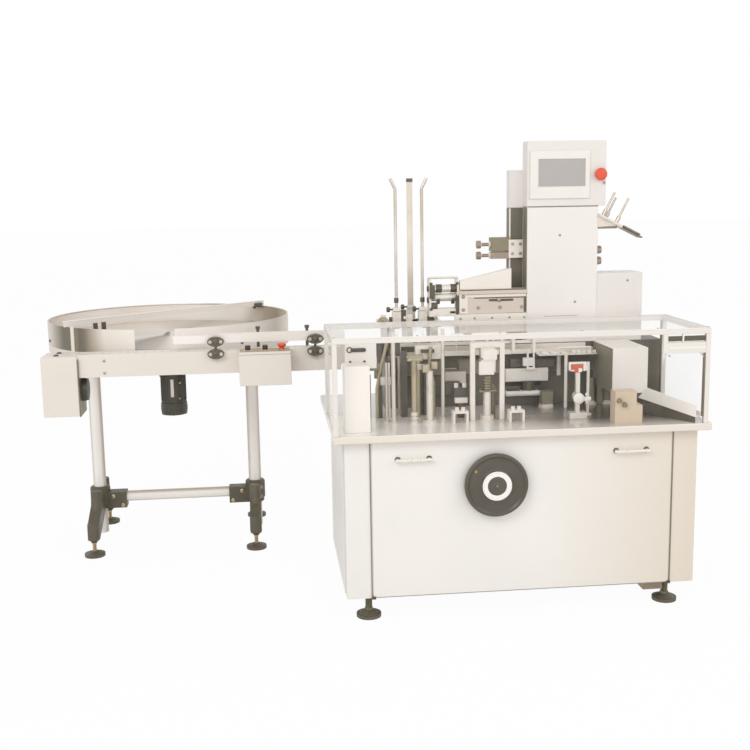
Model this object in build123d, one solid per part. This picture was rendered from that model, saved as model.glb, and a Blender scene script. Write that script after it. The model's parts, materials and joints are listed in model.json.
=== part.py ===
from build123d import *
import math
import os

os.makedirs("parts", exist_ok=True)

# Packaging machine with a bottle turntable, in millimetres.
# Working axes: X to the right along the front, Y to the back, Z up from the floor.
# X and Y start at the front left corner of the cabinet, and the finished
# pieces are moved so that the middle of the footprint is the origin.

# Cabinet
cabinet_length = 1500.0
cabinet_depth = 860.0
cabinet_bottom = 105.0
cabinet_top = 780.0
panel_thickness = 4.0
panel_border = 5.0
front_panel_left = 112.0
front_panel_right_gap = 114.0
side_panel_inset = 60.0
handle_drop = 81.0
handle_length = 155.0
handle_bar = 12.0
handle_reach = 26.0
handle_left_x = 285.0
handle_right_x = 1210.0
handle_foot_inset = 12.0
handle_height = cabinet_top - handle_drop

# Base channel and levelling feet
channel_width = 86.0
channel_height = 40.0
channel_inset = 124.0
channel_end_inset = 30.0
foot_disc_radius = 53.0
foot_disc_height = 14.0
foot_cone_height = 14.0
foot_cone_base = 42.0
foot_cone_radius = 19.0
foot_stem_radius = 13.0
foot_inset_x = 97.0
foot_inset_y = 75.0

# Table
table_thickness = 32.0
table_overhang = 45.0
table_edge_radius = 8.0
table_top = cabinet_top + table_thickness

# Handwheel
wheel_x = 626.0
wheel_drop = 198.0
wheel_z = cabinet_top - wheel_drop
wheel_radius = 134.0
wheel_thickness = 24.0
wheel_rim_width = 26.0
wheel_dish = 8.0
wheel_hub_radius = 62.0
wheel_hub_front = 10.0
wheel_shaft_radius = 12.0
wheel_running_gap = 0.05
wheel_boss_radius = 34.0
wheel_boss_length = 12.0
wheel_clearance = 7.0
wheel_shaft_depth = 60.0
wheel_bore_radius = 18.0

# Guard
guard_height = 398.0
guard_back_gap = 38.0
guard_right_inset = 20.0
guard_bar = 20.0
guard_panel = 5.0
bay_length = 183.0
bay_beam_drop = 54.0
bay_beam_height = 46.0
gusset_size = 26.0
gusset_thickness = 4.0
guard_top = table_top + guard_height

# Rear housing inside the guard
housing_left = 230.0
housing_front = 500.0
housing_depth = 220.0
housing_right_reach = 25.0
housing_height = 283.0
housing_top = table_top + housing_height
fascia_thickness = 8.0
fascia_height = 92.0
fascia_slot_height = 34.0
fascia_slot_bottom = 22.0
fascia_right_gap = 183.0
fascia_slots = [(275.0, 62.0), (550.0, 84.0)]
wall_panel_start = 550.0
wall_panel_length = 165.0
wall_panel_rise = 88.0
wall_panel_height = 33.0
wall_panel_thickness = 16.0
wall_block_start = 275.0
wall_block_length = 61.0
wall_block_depth = 40.0
wall_bar_rise = 38.0
wall_bar_height = 25.0
wall_bar_thickness = 24.0

# Product track along the front of the housing
track_start = 20.0
track_end_gap = 16.0
track_shelf_depth = 52.0
track_shelf_thickness = 8.0
track_drop = 33.0
track_level = housing_top - track_drop
track_rail_height = 14.0
track_rail_depth = 6.0
track_upper_gap = 40.0
flight_start = 42.5
flight_pitch = 85.0
flight_thickness = 5.0
flight_height = 60.0
flight_depth = 20.0

# Carton shelf at the right of the track
shelf_length = 269.0
shelf_thickness = 6.0
shelf_depth = 70.0
shelf_drop = 4.0
shelf_top = track_level - shelf_drop
shelf_strip_length = 46.0
shelf_strip_width = 10.0
shelf_strip_height = 5.0
shelf_strip_pitch = 40.0
shelf_strip_count = 3
shelf_post_start = 99.0
shelf_post_width = 16.0
shelf_post_height = 100.0

# Lifting portal on the table
portal_left = 559.0
portal_width = 149.0
portal_y = 187.0
portal_leg = 21.0
portal_height = 338.0
portal_top = table_top + portal_height
portal_beam = 24.0
lift_head_width = 62.0
lift_head_depth = 46.0
lift_head_height = 42.0
lift_block_width = 64.0
lift_block_height = 54.0
lift_block_gap = 8.0
lift_rod_radius = 9.0
lift_cylinder_radius = 16.0
lift_cylinder_height = 92.0
lift_ring_radius = 30.0
lift_ring_height = 22.0

# Clamp brackets beside the portal
clamp_width = 67.0
clamp_height = 50.0
clamp_depth = 44.0
clamp_wall = 10.0
clamp_left_x = 477.0
clamp_left_y = 160.0
clamp_right_x = 715.0
clamp_right_y = 137.0
clamp_knob_inset = 20.0
clamp_knob_radius = 9.0
clamp_knob_height = 14.0

# Guide columns on the table
silver_column = (384.0, 183.0)
silver_column_radius = 15.0
silver_column_height = 222.0
silver_flange_radius = 32.0
silver_flange_height = 12.0
brown_column = (316.0, 174.0)
brown_column_radius = 10.5
brown_column_height = 270.0
brown_plate_width = 56.0
brown_plate_thickness = 10.0
brown_ring_radius = 16.0
brown_ring_height = 12.0
brown_ring_count = 3
brown_ring_gap = 5.0
slim_posts = [(230.0, 190.0, 8.5), (275.0, 353.0, 6.5), (205.0, 228.0, 5.0), (453.0, 254.0, 8.0)]
slim_post_drops = [8.0, 86.0, 142.0, 8.0]
slim_post_foot = 15.0
slim_post_foot_height = 8.0

# Cover box at the left end of the table
cover_left = 8.0
cover_width = 105.0
cover_front = 20.0
cover_depth = 105.0
cover_height = 277.0

# Counter on its stand
counter_from_right = 477.0
counter_x = cabinet_length - counter_from_right
counter_y = 160.0
counter_base_width = 76.0
counter_base_depth = 46.0
counter_base_height = 26.0
counter_post = 18.0
counter_head_width = 69.0
counter_head_height = 36.0
counter_head_depth = 22.0
counter_head_rise = 206.0
counter_head_bottom = table_top + counter_head_rise
counter_head_shift = 7.0
counter_joint_radius = 20.0
counter_joint_depth = 30.0
counter_joint_rise = 93.0

# Gauge block at the right end of the table
gauge_from_right = 366.0
gauge_left = cabinet_length - gauge_from_right
gauge_width = 118.0
gauge_front = -12.0
gauge_depth = 64.0
gauge_height = 140.0
gauge_step_width = 26.0
gauge_step_height = 60.0
gauge_knob_radius = 9.5
gauge_knob_length = 16.0
gauge_knobs = [(17.0, 102.0), (40.0, 84.0)]

# Small pillars at the back of the table
pillar_from_right = 547.0
pillar_from_housing = 92.0
pillar_width = 50.0
pillar_height = 75.0
pillar_foot_radius = 34.0
pillar_foot_height = 8.0
dark_pillar_from_right = 328.0
white_pillar_from_right = 255.0
round_pillar_from_housing = 60.0
round_pillar_radius = 17.0
dark_pillar_height = 122.0
white_pillar_height = 100.0
round_pillar_foot = 26.0

# Outfeed chute and slide
chute_from_right = 304.0
chute_width = 158.0
chute_depth = 279.0
chute_rise = 88.0
chute_height = 200.0
chute_sheet = 4.0
chute_exit_height = 85.0
chute_exit_depth = 70.0
chute_left = cabinet_length - chute_from_right
slide_lap = 43.0
slide_rise = 72.0
slide_end_rise = 30.0
slide_length = 298.0
slide_heading = 58.0
slide_depth = 42.0
slide_lip = 14.0
slide_wall = 4.0
slide_flange = 46.0
slide_web_start = 30.0
slide_web_inset = 8.0

# Tower, display box and feeder column
tower_from_right = 291.0
tower_width = 327.0
tower_proud = 5.0
tower_depth = 86.0
tower_height = 617.0
tower_right = cabinet_length - tower_from_right
tower_left = tower_right - tower_width
tower_front = housing_front - tower_proud
tower_back = tower_front + tower_depth
tower_top = housing_top + tower_height
display_height = 288.0
display_left_reach = 2.0
display_right_reach = 33.0
display_left = tower_left - display_left_reach
display_right = tower_right + display_right_reach
display_top = tower_top + display_height
bezel_inset = 12.0
bezel_rise = 34.0
bezel_width = 273.0
bezel_height = 211.0
bezel_thickness = 8.0
bezel_left = display_left + bezel_inset
bezel_bottom = tower_top + bezel_rise
screen_inset = 37.0
screen_rise = 53.0
screen_width = 216.0
screen_height = 122.0
screen_recess = 3.0
stop_inset = 29.0
stop_rise = 139.0
stop_radius = 28.0
stop_collar_radius = 16.0
stop_collar_length = 14.0
stop_head_length = 14.0
column_left_reach = 62.0
column_depth = 60.0
column_right_inset = 19.0
column_drop = 5.0
cap_height = 169.0
column_left = tower_left - column_left_reach
column_right = tower_right - column_right_inset
column_top = tower_top - column_drop
cap_top = column_top + cap_height

# Feeder arms left of the column
arm_plate_reach = 6.0
arm_plate_drop = 231.0
arm_plate_height = 83.0
arm_plate_thickness = 12.0
arm_box_length = 84.0
arm_box_depth = 60.0
arm_boxes = [(200.0, 62.0), (234.0, 30.0)]
arm_rod_length = 46.0
arm_rod_radius = 8.0
arm_knob_radius = 18.0
arm_knob_length = 19.0

# Leaflet feeder at the right of the tower
tray_run = 108.0
tray_drop = 36.0
tray_tilt = 27.0
tray_thickness = 10.0
tray_depth = 90.0
tray_proud = 15.0
tray_bracket_height = 60.0
tray_bracket_depth = 24.0
tray_blade_length = 110.0
tray_blade_thickness = 6.0
tray_rod_radius = 5.0
tray_rod_lengths = [116.0, 104.0, 122.0]
tray_rod_places = [(22.0, 20.0), (50.0, 60.0), (92.0, 20.0)]
tray_sleeve_radius = 9.0
tray_sleeve_length = 30.0
side_knob_rises = [105.0, 55.0]
side_knob_radius = 20.0
side_knob_length = 30.0
side_knob_inset = 43.0

# Side box on the housing
side_box_length = 216.0
side_box_height = 312.0
side_box_depth = 145.0
side_box_lid_radius = 26.0
side_box_lid_height = 3.0
side_box_top = housing_top + side_box_height

# Beam, plate and rollers left of the tower
beam_from_tower = 270.0
beam_rise = 141.0
beam_height = 89.0
beam_depth = 60.0
beam_left = tower_left - beam_from_tower
beam_bottom = housing_top + beam_rise
beam_top = beam_bottom + beam_height
beam_ledge_height = 22.0
beam_ledge_reach = 10.0
beam_end_length = 41.0
beam_end_left = beam_left - beam_end_length
beam_foot_width = 30.0
beam_foot_start = 29.0
line_plate_reach = 22.0
line_plate_height = 85.0
line_plate_thickness = 16.0
slope_start = 4.0
slope_column_gap = 8.0
slope_low_height = 38.0
slope_high_height = 92.0
slope_depth = 46.0
roller_span = 135.0
roller_left = beam_end_left - roller_span
roller_radius = 18.0
roller_core_radius = 5.0
roller_rises = [50.0, 90.0]
roller_plate = 8.0
roller_frame_rise = 167.0
roller_frame_height = 134.0
roller_frame_depth = 70.0
roller_block_height = 34.0

# Three-rod magazine
magazine_base_lap = 64.0
magazine_base_length = 288.0
magazine_base_inset = 45.0
magazine_base_depth = 145.0
magazine_base_rise = 95.0
magazine_base_thickness = 14.0
magazine_leg = 22.0
magazine_left_leg_start = 48.0
magazine_right_leg_inset = 52.0
magazine_block_height = 46.0
magazine_block_width = 40.0
magazine_block_depth = 28.0
magazine_rod_radius = 7.0
magazine_rod_starts = [81.0, 201.0]
magazine_rod_inset = 15.0
magazine_back_start = 160.0
magazine_back_inset = 30.0
magazine_back_width = 26.0
magazine_back_thickness = 10.0
magazine_rod_length = 596.0
magazine_flare_height = 46.0
magazine_flare_reach = 22.0

# Infeed conveyor
conveyor_back_inset = 5.0
conveyor_gap = 90.0
conveyor_plate = 4.0
conveyor_height = 104.0
conveyor_rise = 274.0
conveyor_back = housing_front + housing_depth - conveyor_back_inset
conveyor_front = conveyor_back - conveyor_gap - 2 * conveyor_plate
conveyor_top = table_top + conveyor_rise
conveyor_bottom = conveyor_top - conveyor_height
conveyor_left = -1149.0
conveyor_right = 40.0
tail_length = 164.0
tail_rise = 14.0
tail_height = 95.0
tail_slot_start = 46.0
tail_slot_length = 58.0
tail_slot_height = 20.0
tail_slot_drop = 18.0
spacer_radius = 10.0
spacer_drop = 52.0
spacer_inset = 70.0
spacer_count = 5
chain_width = 82.0
chain_thickness = 6.0
chain_drop = 3.0
chain_end_inset = 14.0
wear_strip_width = 14.0
wear_strip_height = 12.0
tail_foot_start = 50.0
tail_foot_size = 40.0

# Guide rails over the chain
lane_width = 68.0
rail_thickness = 4.0
rail_height = 36.0
rail_lift = 38.0
rear_rail_left = -520.0
rail_reach = 20.0
front_clamps = [-530.0, -78.0]
rear_clamps = [-338.0, -110.0]
clamp_oval_width = 75.0
clamp_oval_height = 44.0
clamp_oval_depth = 24.0
clamp_lower_drop = 12.0
clamp_upper_rise = 44.0
clamp_rod_radius = 6.0
rear_post_radius = 7.0
rear_knob_radius = 11.0
rear_knob_height = 12.0

# Drive box and control box on the conveyor
drive_length = 160.0
drive_proud = 12.0
drive_depth = 165.0
drive_drop = 6.0
drive_height = 273.0
drive_motor_radius = 50.0
drive_motor_length = 30.0
drive_motor_rise = 110.0
drive_motor_inset = 85.0
control_left = -425.0
control_width = 232.0
control_depth = 117.0
control_height = 153.0
control_proud = 6.0
control_knobs = [40.0, 118.0]
control_knob_radius = 13.0
control_knob_height = 24.0
control_stop_start = 193.0
control_stop_radius = 20.0
control_stop_height = 30.0

# Turntable
turntable_x = -790.0
turntable_radius = 608.0
turntable_gap = 12.0
turntable_y = conveyor_back + turntable_gap + turntable_radius
rim_thickness = 4.0
rim_height = 113.0
rim_gap_before = 115.0
rim_gap_after = 69.0
rim_gap_left = turntable_x - rim_gap_before
rim_gap_right = turntable_x + rim_gap_after
pan_drop = 20.0
pan_thickness = 36.0
pan_top = conveyor_top - pan_drop
pan_bottom = pan_top - pan_thickness
rim_top = pan_top + rim_height
disc_rim_gap = 23.0
disc_radius = turntable_radius - disc_rim_gap
disc_thickness = 10.0
disc_lift = 7.0
disc_hub_radius = 60.0
disc_hub_top_radius = 30.0
disc_hub_height = 12.0
disc_shaft_radius = 25.0
disc_running_gap = 0.05
pan_hub_radius = 70.0
pan_hub_height = 30.0
disc_shaft_rise = 8.0
pan_hub_bottom = pan_bottom - pan_hub_height
transfer_thickness = 5.0
transfer_reach = 25.0
bed_beam_width = 60.0
bed_beam_reach = 565.0

# Turntable gearmotor
motor_radius = 62.0
motor_length = 218.0
motor_fan_height = 62.0
motor_fan_radius = 66.0
gearbox_size = 150.0
gearbox_height = 120.0

# Diverter bar over the turntable
bar_start_angle = 222.0
bar_end_angle = 39.0
bar_height = 25.0
bar_thickness = 6.0
bar_overhang = 14.0
hanger_positions = [0.118, 0.156]
hanger_width = 14.0
hanger_drop = 42.0

# Support stand of the turntable
tube_radius = 32.5
tube_wall = 3.0
tube_left_reach = 405.0
tube_right_reach = 407.0
tube_left_x = turntable_x - tube_left_reach
tube_right_x = turntable_x + tube_right_reach
tube_bottom = 38.0
cross_tube_radius = 27.0
bracket_bottom = 172.0
bracket_height = 112.0
bracket_top = bracket_bottom + bracket_height
cross_tube_rise = 54.0
cross_tube_z = bracket_bottom + cross_tube_rise
bracket_collar = 46.0
bracket_arm = 138.0
bracket_arm_height = 84.0
bracket_arm_depth = 72.0
bipod_reach = 284.0
bipod_leg_bottom = 84.0
bipod_leg_width = 56.0
bipod_leg_root = 23.0
bipod_leg_tip = 36.0
bipod_leg_tip_height = 72.0
bipod_spindle_radius = 8.0
bipod_disc_radius = 51.0
bipod_disc_height = 14.0
bipod_cone_height = 12.0
bipod_cone_base = 41.0
bipod_cone_radius = 18.0


def block(x0, x1, y0, y1, z0, z1):
    """A box between two corners."""
    size = Box(x1 - x0, y1 - y0, z1 - z0)
    return Pos((x0 + x1) / 2, (y0 + y1) / 2, (z0 + z1) / 2) * size


def upright(x, y, z0, z1, radius):
    """A round bar along Z."""
    return Pos(x, y, (z0 + z1) / 2) * Cylinder(radius, z1 - z0)


def bar_x(x0, x1, y, z, radius):
    """A round bar along X."""
    return Pos((x0 + x1) / 2, y, z) * Rot(0, 90, 0) * Cylinder(radius, x1 - x0)


def bar_y(x, y0, y1, z, radius):
    """A round bar along Y."""
    return Pos(x, (y0 + y1) / 2, z) * Rot(90, 0, 0) * Cylinder(radius, y1 - y0)


def cone_up(x, y, z0, z1, low_radius, high_radius):
    """A cone along Z."""
    return Pos(x, y, (z0 + z1) / 2) * Cone(low_radius, high_radius, z1 - z0)


def plate_xz(points, y0, y1):
    """A plate whose outline lies in X and Z, from y0 to y1."""
    outline = make_face(Polyline(*[(x, z) for x, z in points], close=True))
    plane = Plane(origin=(0, y1, 0), x_dir=(1, 0, 0), z_dir=(0, -1, 0))
    return extrude(plane * outline, y1 - y0)


def plate_yz(points, x0, x1):
    """A plate whose outline lies in Y and Z, from x0 to x1."""
    outline = make_face(Polyline(*[(y, z) for y, z in points], close=True))
    plane = Plane(origin=(x0, 0, 0), x_dir=(0, 1, 0), z_dir=(1, 0, 0))
    return extrude(plane * outline, x1 - x0)


def oval_y(x, z, y0, y1, width, height):
    """An oval disc facing along Y."""
    plane = Plane(origin=(x, y1, z), x_dir=(1, 0, 0), z_dir=(0, -1, 0))
    return extrude(plane * Ellipse(width / 2, height / 2), y1 - y0)


pieces = {}


def keep(name, *solids):
    """Store a node as one shape, or as several solids that do not touch."""
    pieces[name] = list(solids)


# Cabinet
body = block(0, cabinet_length, 0, cabinet_depth, cabinet_bottom, cabinet_top)
body -= bar_y(wheel_x, 0, wheel_shaft_depth + wheel_clearance, wheel_z, wheel_bore_radius)
keep("cabinet_body", body)

panel_low = cabinet_bottom + panel_border
panel_high = cabinet_top - panel_border
front_panel = block(
    front_panel_left, cabinet_length - front_panel_right_gap, -panel_thickness, 0, panel_low, panel_high
)
boss_front = -panel_thickness - wheel_boss_length
front_panel += bar_y(wheel_x, boss_front, 0, wheel_z, wheel_boss_radius)
front_panel -= bar_y(wheel_x, boss_front, 0, wheel_z, wheel_shaft_radius + wheel_running_gap)
back_panel = block(
    side_panel_inset, cabinet_length - side_panel_inset,
    cabinet_depth, cabinet_depth + panel_thickness, panel_low, panel_high
)
left_panel = block(
    -panel_thickness, 0, side_panel_inset, cabinet_depth - side_panel_inset, panel_low, panel_high
)
right_panel = block(
    cabinet_length, cabinet_length + panel_thickness,
    side_panel_inset, cabinet_depth - side_panel_inset, panel_low, panel_high
)
keep("service_panels", front_panel, back_panel, left_panel, right_panel)


def panel_handle(x):
    """A slim bar handle on two feet."""
    y_bar = -panel_thickness - handle_reach
    half = handle_length / 2
    bar = block(x - half, x + half, y_bar, y_bar + handle_bar,
                handle_height - handle_bar / 2, handle_height + handle_bar / 2)
    for side in (-1, 1):
        foot_x = x + side * (half - handle_foot_inset)
        bar += block(foot_x - handle_bar / 2, foot_x + handle_bar / 2, y_bar, -panel_thickness,
                     handle_height - handle_bar / 2, handle_height + handle_bar / 2)
    return bar


keep("panel_handles", panel_handle(handle_left_x), panel_handle(handle_right_x))

channel_right = cabinet_length - channel_inset
keep("base_channel", block(channel_right - channel_width, channel_right, channel_end_inset,
                           cabinet_depth - channel_end_inset, cabinet_bottom - channel_height,
                           cabinet_bottom))


def levelling_foot(x, y):
    """A disc foot with a coned top and a threaded stem."""
    foot = upright(x, y, 0, foot_disc_height, foot_disc_radius)
    cone_top = foot_disc_height + foot_cone_height
    foot += cone_up(x, y, foot_disc_height, cone_top, foot_cone_base, foot_cone_radius)
    foot += upright(x, y, 0, cabinet_bottom, foot_stem_radius)
    return foot


foot_xs = (foot_inset_x, cabinet_length - foot_inset_x)
foot_ys = (foot_inset_y, cabinet_depth - foot_inset_y)
cabinet_feet = [levelling_foot(x, y) for x in foot_xs for y in foot_ys]

# Table
table_left = -table_overhang
table_right = cabinet_length + table_overhang
table_front = -table_overhang
table_back = cabinet_depth + table_overhang
table = block(table_left, table_right, table_front, table_back, cabinet_top, table_top)
table = fillet(table.edges().filter_by(Axis.Z), table_edge_radius)
keep("table_plate", table)

# Handwheel
wheel_back = boss_front - wheel_clearance
wheel_front = wheel_back - wheel_thickness
wheel = bar_y(wheel_x, wheel_front, wheel_back, wheel_z, wheel_radius)
dish = bar_y(wheel_x, wheel_front, wheel_front + wheel_dish, wheel_z, wheel_radius - wheel_rim_width)
wheel -= dish
wheel += bar_y(wheel_x, wheel_front - wheel_hub_front, wheel_back, wheel_z, wheel_hub_radius)
wheel += bar_y(wheel_x, wheel_back, wheel_shaft_depth, wheel_z, wheel_shaft_radius)
keep("handwheel", wheel)

# Guard posts stand on the table, rails join their tops
guard_right = table_right - guard_right_inset
guard_back = housing_front - guard_back_gap
post_left = table_left
post_right = guard_right - guard_bar
post_back = guard_back - guard_bar
rail_bottom = guard_top - guard_bar


def guard_post(x, y):
    """A square guard post on the table."""
    return block(x, x + guard_bar, y, y + guard_bar, table_top, rail_bottom)


keep(
    "guard_posts",
    guard_post(post_left, table_front),
    guard_post(post_right, table_front),
    guard_post(post_left, post_back),
    guard_post(post_right, post_back),
)
inner_front = table_front + guard_bar
front_rail = block(table_left, guard_right, table_front, inner_front, rail_bottom, guard_top)
back_rail = block(table_left, guard_right, post_back, guard_back, rail_bottom, guard_top)
left_rail = block(table_left, table_left + guard_bar, inner_front, post_back, rail_bottom, guard_top)
right_rail = block(post_right, guard_right, inner_front, post_back, rail_bottom, guard_top)

# Outfeed bay at the right of the guard's front, a beam on a short hanger with a gusset at each end
bay_left = post_right - bay_length
bay_beam_top = guard_top - bay_beam_drop
bay_beam_bottom = bay_beam_top - bay_beam_height
bay_beam = block(bay_left, post_right, table_front, inner_front, bay_beam_bottom, bay_beam_top)
bay_beam += block(bay_left, bay_left + guard_bar, table_front, inner_front, bay_beam_top, rail_bottom)
gusset_front = table_front + (guard_bar - gusset_thickness) / 2
for corner, side in ((bay_left, 1), (post_right, -1)):
    bay_beam += plate_xz(
        [(corner, bay_beam_bottom), (corner + side * gusset_size, bay_beam_bottom),
         (corner, bay_beam_bottom - gusset_size)],
        gusset_front, gusset_front + gusset_thickness)
keep("guard_cross_rails", front_rail, back_rail, bay_beam)
keep("guard_side_rails", left_rail, right_rail)

panel_in = (guard_bar - guard_panel) / 2
front_clear = block(post_left + guard_bar, bay_left, table_front + panel_in,
                    table_front + panel_in + guard_panel, table_top, rail_bottom)
left_clear = block(table_left + panel_in, table_left + panel_in + guard_panel,
                   inner_front, post_back, table_top, rail_bottom)
right_clear = block(guard_right - panel_in - guard_panel, guard_right - panel_in,
                    inner_front, post_back, table_top, rail_bottom)
top_clear = block(table_left, guard_right, table_front, guard_back, guard_top, guard_top + guard_panel)
keep("guard_panels", front_clear, left_clear, right_clear, top_clear)

# Rear housing with its front fascia
housing_right = cabinet_length + housing_right_reach
housing_back = housing_front + housing_depth
housing = block(housing_left, housing_right, housing_front, housing_back, table_top, housing_top)
keep("rear_housing", housing)
fascia_bottom = track_level - track_shelf_thickness - fascia_height
fascia = block(housing_left, housing_right - fascia_right_gap, housing_front - fascia_thickness,
               housing_front, fascia_bottom, fascia_bottom + fascia_height)
for slot_start, slot_length in fascia_slots:
    slot_x = housing_left + slot_start
    fascia -= block(slot_x, slot_x + slot_length, housing_front - fascia_thickness, housing_front,
                    fascia_bottom + fascia_slot_bottom,
                    fascia_bottom + fascia_slot_bottom + fascia_slot_height)
wall_panel_left = housing_left + wall_panel_start
wall_panel_bottom = table_top + wall_panel_rise
wall_panel_top = wall_panel_bottom + wall_panel_height
wall_panel = block(wall_panel_left, wall_panel_left + wall_panel_length,
                   housing_front - wall_panel_thickness, housing_front,
                   wall_panel_bottom, wall_panel_top)
wall_bar_bottom = table_top + wall_bar_rise
wall_bar = block(wall_panel_left, wall_panel_left + wall_panel_length,
                 housing_front - wall_bar_thickness, housing_front,
                 wall_bar_bottom, wall_bar_bottom + wall_bar_height)
wall_block_left = housing_left + wall_block_start
wall_block = block(wall_block_left, wall_block_left + wall_block_length,
                   housing_front - wall_block_depth, housing_front,
                   wall_panel_bottom, wall_panel_top)
keep("housing_fascia", fascia, wall_panel, wall_bar, wall_block)

# Product track with its flights
track_left = housing_left + track_start
track_right = chute_left - track_end_gap
shelf_right = track_right
shelf_left = shelf_right - shelf_length
shelf_front = housing_front - track_shelf_depth
track = block(track_left, track_right, shelf_front, housing_front,
              track_level - track_shelf_thickness, track_level)
track += block(track_left, track_right, shelf_front, shelf_front + track_rail_depth,
               track_level, track_level + track_rail_height)
flight_count = int((shelf_left - track_left) / flight_pitch)
for index in range(flight_count):
    x = track_left + flight_start + flight_pitch * index
    track += block(x, x + flight_thickness, shelf_front + track_rail_depth,
                   shelf_front + track_rail_depth + flight_depth, track_level,
                   track_level + flight_height)
upper_level = track_level + track_upper_gap
track += block(track_left, shelf_left, shelf_front + track_rail_depth,
               shelf_front + 2 * track_rail_depth, upper_level, upper_level + track_rail_height)

shelf_back = shelf_front
shelf = block(shelf_left, shelf_right, shelf_back - shelf_depth, shelf_back,
              shelf_top - shelf_thickness, shelf_top)
for index in range(shelf_strip_count):
    x = shelf_right - shelf_strip_pitch * (index + 1)
    shelf += block(x, x + shelf_strip_width, shelf_back - shelf_depth,
                   shelf_back - shelf_depth + shelf_strip_length, shelf_top,
                   shelf_top + shelf_strip_height)
shelf_post_x = shelf_left + shelf_post_start
shelf += block(shelf_post_x, shelf_post_x + shelf_post_width, shelf_back - shelf_post_width,
               shelf_back, shelf_top - shelf_thickness - shelf_post_height,
               shelf_top - shelf_thickness)
keep("product_track", track + shelf)

# Lifting portal
portal_right = portal_left + portal_width
portal_front = portal_y - portal_leg / 2
portal_rear = portal_y + portal_leg / 2
portal = block(portal_left, portal_right, portal_front, portal_rear, table_top, portal_top)
portal -= block(portal_left + portal_leg, portal_right - portal_leg, portal_front, portal_rear,
                table_top, portal_top - portal_beam)
keep("lift_portal", portal)

lift_x = (portal_left + portal_right) / 2
cylinder_top = table_top + lift_ring_height + lift_cylinder_height
head_top = portal_top - portal_beam
lift = upright(lift_x, portal_y, table_top, table_top + lift_ring_height, lift_ring_radius)
lift += upright(lift_x, portal_y, table_top, cylinder_top, lift_cylinder_radius)
lift += upright(lift_x, portal_y, cylinder_top, head_top, lift_rod_radius)
lift += block(lift_x - lift_head_width / 2, lift_x + lift_head_width / 2,
              portal_y - lift_head_depth / 2, portal_y + lift_head_depth / 2,
              head_top - lift_head_height, head_top)
block_top = head_top - lift_head_height - lift_block_gap
lift += block(lift_x - lift_block_width / 2, lift_x + lift_block_width / 2,
              portal_y - lift_head_depth / 2, portal_y + lift_head_depth / 2,
              block_top - lift_block_height, block_top)
keep("lift_cylinder", lift)


def clamp_bracket(x, y):
    """A low bridge on two legs with two knobs on top."""
    top = table_top + clamp_height
    bridge = block(x, x + clamp_width, y - clamp_depth / 2, y + clamp_depth / 2, table_top, top)
    bridge -= block(x + clamp_wall, x + clamp_width - clamp_wall, y - clamp_depth / 2,
                    y + clamp_depth / 2, table_top, top - clamp_wall)
    for knob_x in (x + clamp_knob_inset, x + clamp_width - clamp_knob_inset):
        bridge += upright(knob_x, y, top, top + clamp_knob_height, clamp_knob_radius)
    return bridge


keep("clamp_brackets", clamp_bracket(clamp_left_x, clamp_left_y),
     clamp_bracket(clamp_right_x, clamp_right_y))

# Guide columns
sx, sy = silver_column
silver = upright(sx, sy, table_top, table_top + silver_flange_height, silver_flange_radius)
silver += upright(sx, sy, table_top, table_top + silver_column_height, silver_column_radius)
bx, by = brown_column
brown_top = table_top + brown_column_height
brown = upright(bx, by, table_top, brown_top, brown_column_radius)
for index in range(brown_ring_count):
    low = table_top + index * (brown_ring_height + brown_ring_gap)
    brown += upright(bx, by, low, low + brown_ring_height, brown_ring_radius)
brown += block(bx - brown_plate_width / 2, bx + brown_plate_width / 2, by - brown_ring_radius,
               by + brown_ring_radius, brown_top, brown_top + brown_plate_thickness)
columns = [silver, brown]
for (px, py, pr), drop in zip(slim_posts, slim_post_drops):
    post = upright(px, py, table_top, guard_top - drop, pr)
    post += upright(px, py, table_top, table_top + slim_post_foot_height, slim_post_foot)
    columns.append(post)
keep("guide_columns", *columns)

keep("infeed_cover", block(cover_left, cover_left + cover_width, cover_front,
                           cover_front + cover_depth, table_top, table_top + cover_height))

# Counter on its stand
stand = block(counter_x - counter_base_width / 2, counter_x + counter_base_width / 2,
              counter_y - counter_base_depth / 2, counter_y + counter_base_depth / 2,
              table_top, table_top + counter_base_height)
stand += block(counter_x - counter_post / 2, counter_x + counter_post / 2,
               counter_y - counter_post / 2, counter_y + counter_post / 2,
               table_top, counter_head_bottom)
stand += bar_y(counter_x, counter_y - counter_joint_depth / 2, counter_y + counter_joint_depth / 2,
               table_top + counter_joint_rise, counter_joint_radius)
head_x = counter_x + counter_head_shift
stand += block(head_x - counter_head_width / 2, head_x + counter_head_width / 2,
               counter_y - counter_head_depth / 2, counter_y + counter_head_depth / 2,
               counter_head_bottom, counter_head_bottom + counter_head_height)
keep("counter_stand", stand)

# Gauge block
gauge_top = table_top + gauge_height
gauge = block(gauge_left, gauge_left + gauge_width, gauge_front, gauge_front + gauge_depth,
              table_top, gauge_top)
gauge -= block(gauge_left + gauge_width - gauge_step_width, gauge_left + gauge_width,
               gauge_front, gauge_front + gauge_depth, gauge_top - gauge_step_height, gauge_top)
for knob_x, knob_z in gauge_knobs:
    gauge += bar_y(gauge_left + knob_x, gauge_front - gauge_knob_length, gauge_front,
                   table_top + knob_z, gauge_knob_radius)
keep("gauge_block", gauge)

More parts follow.
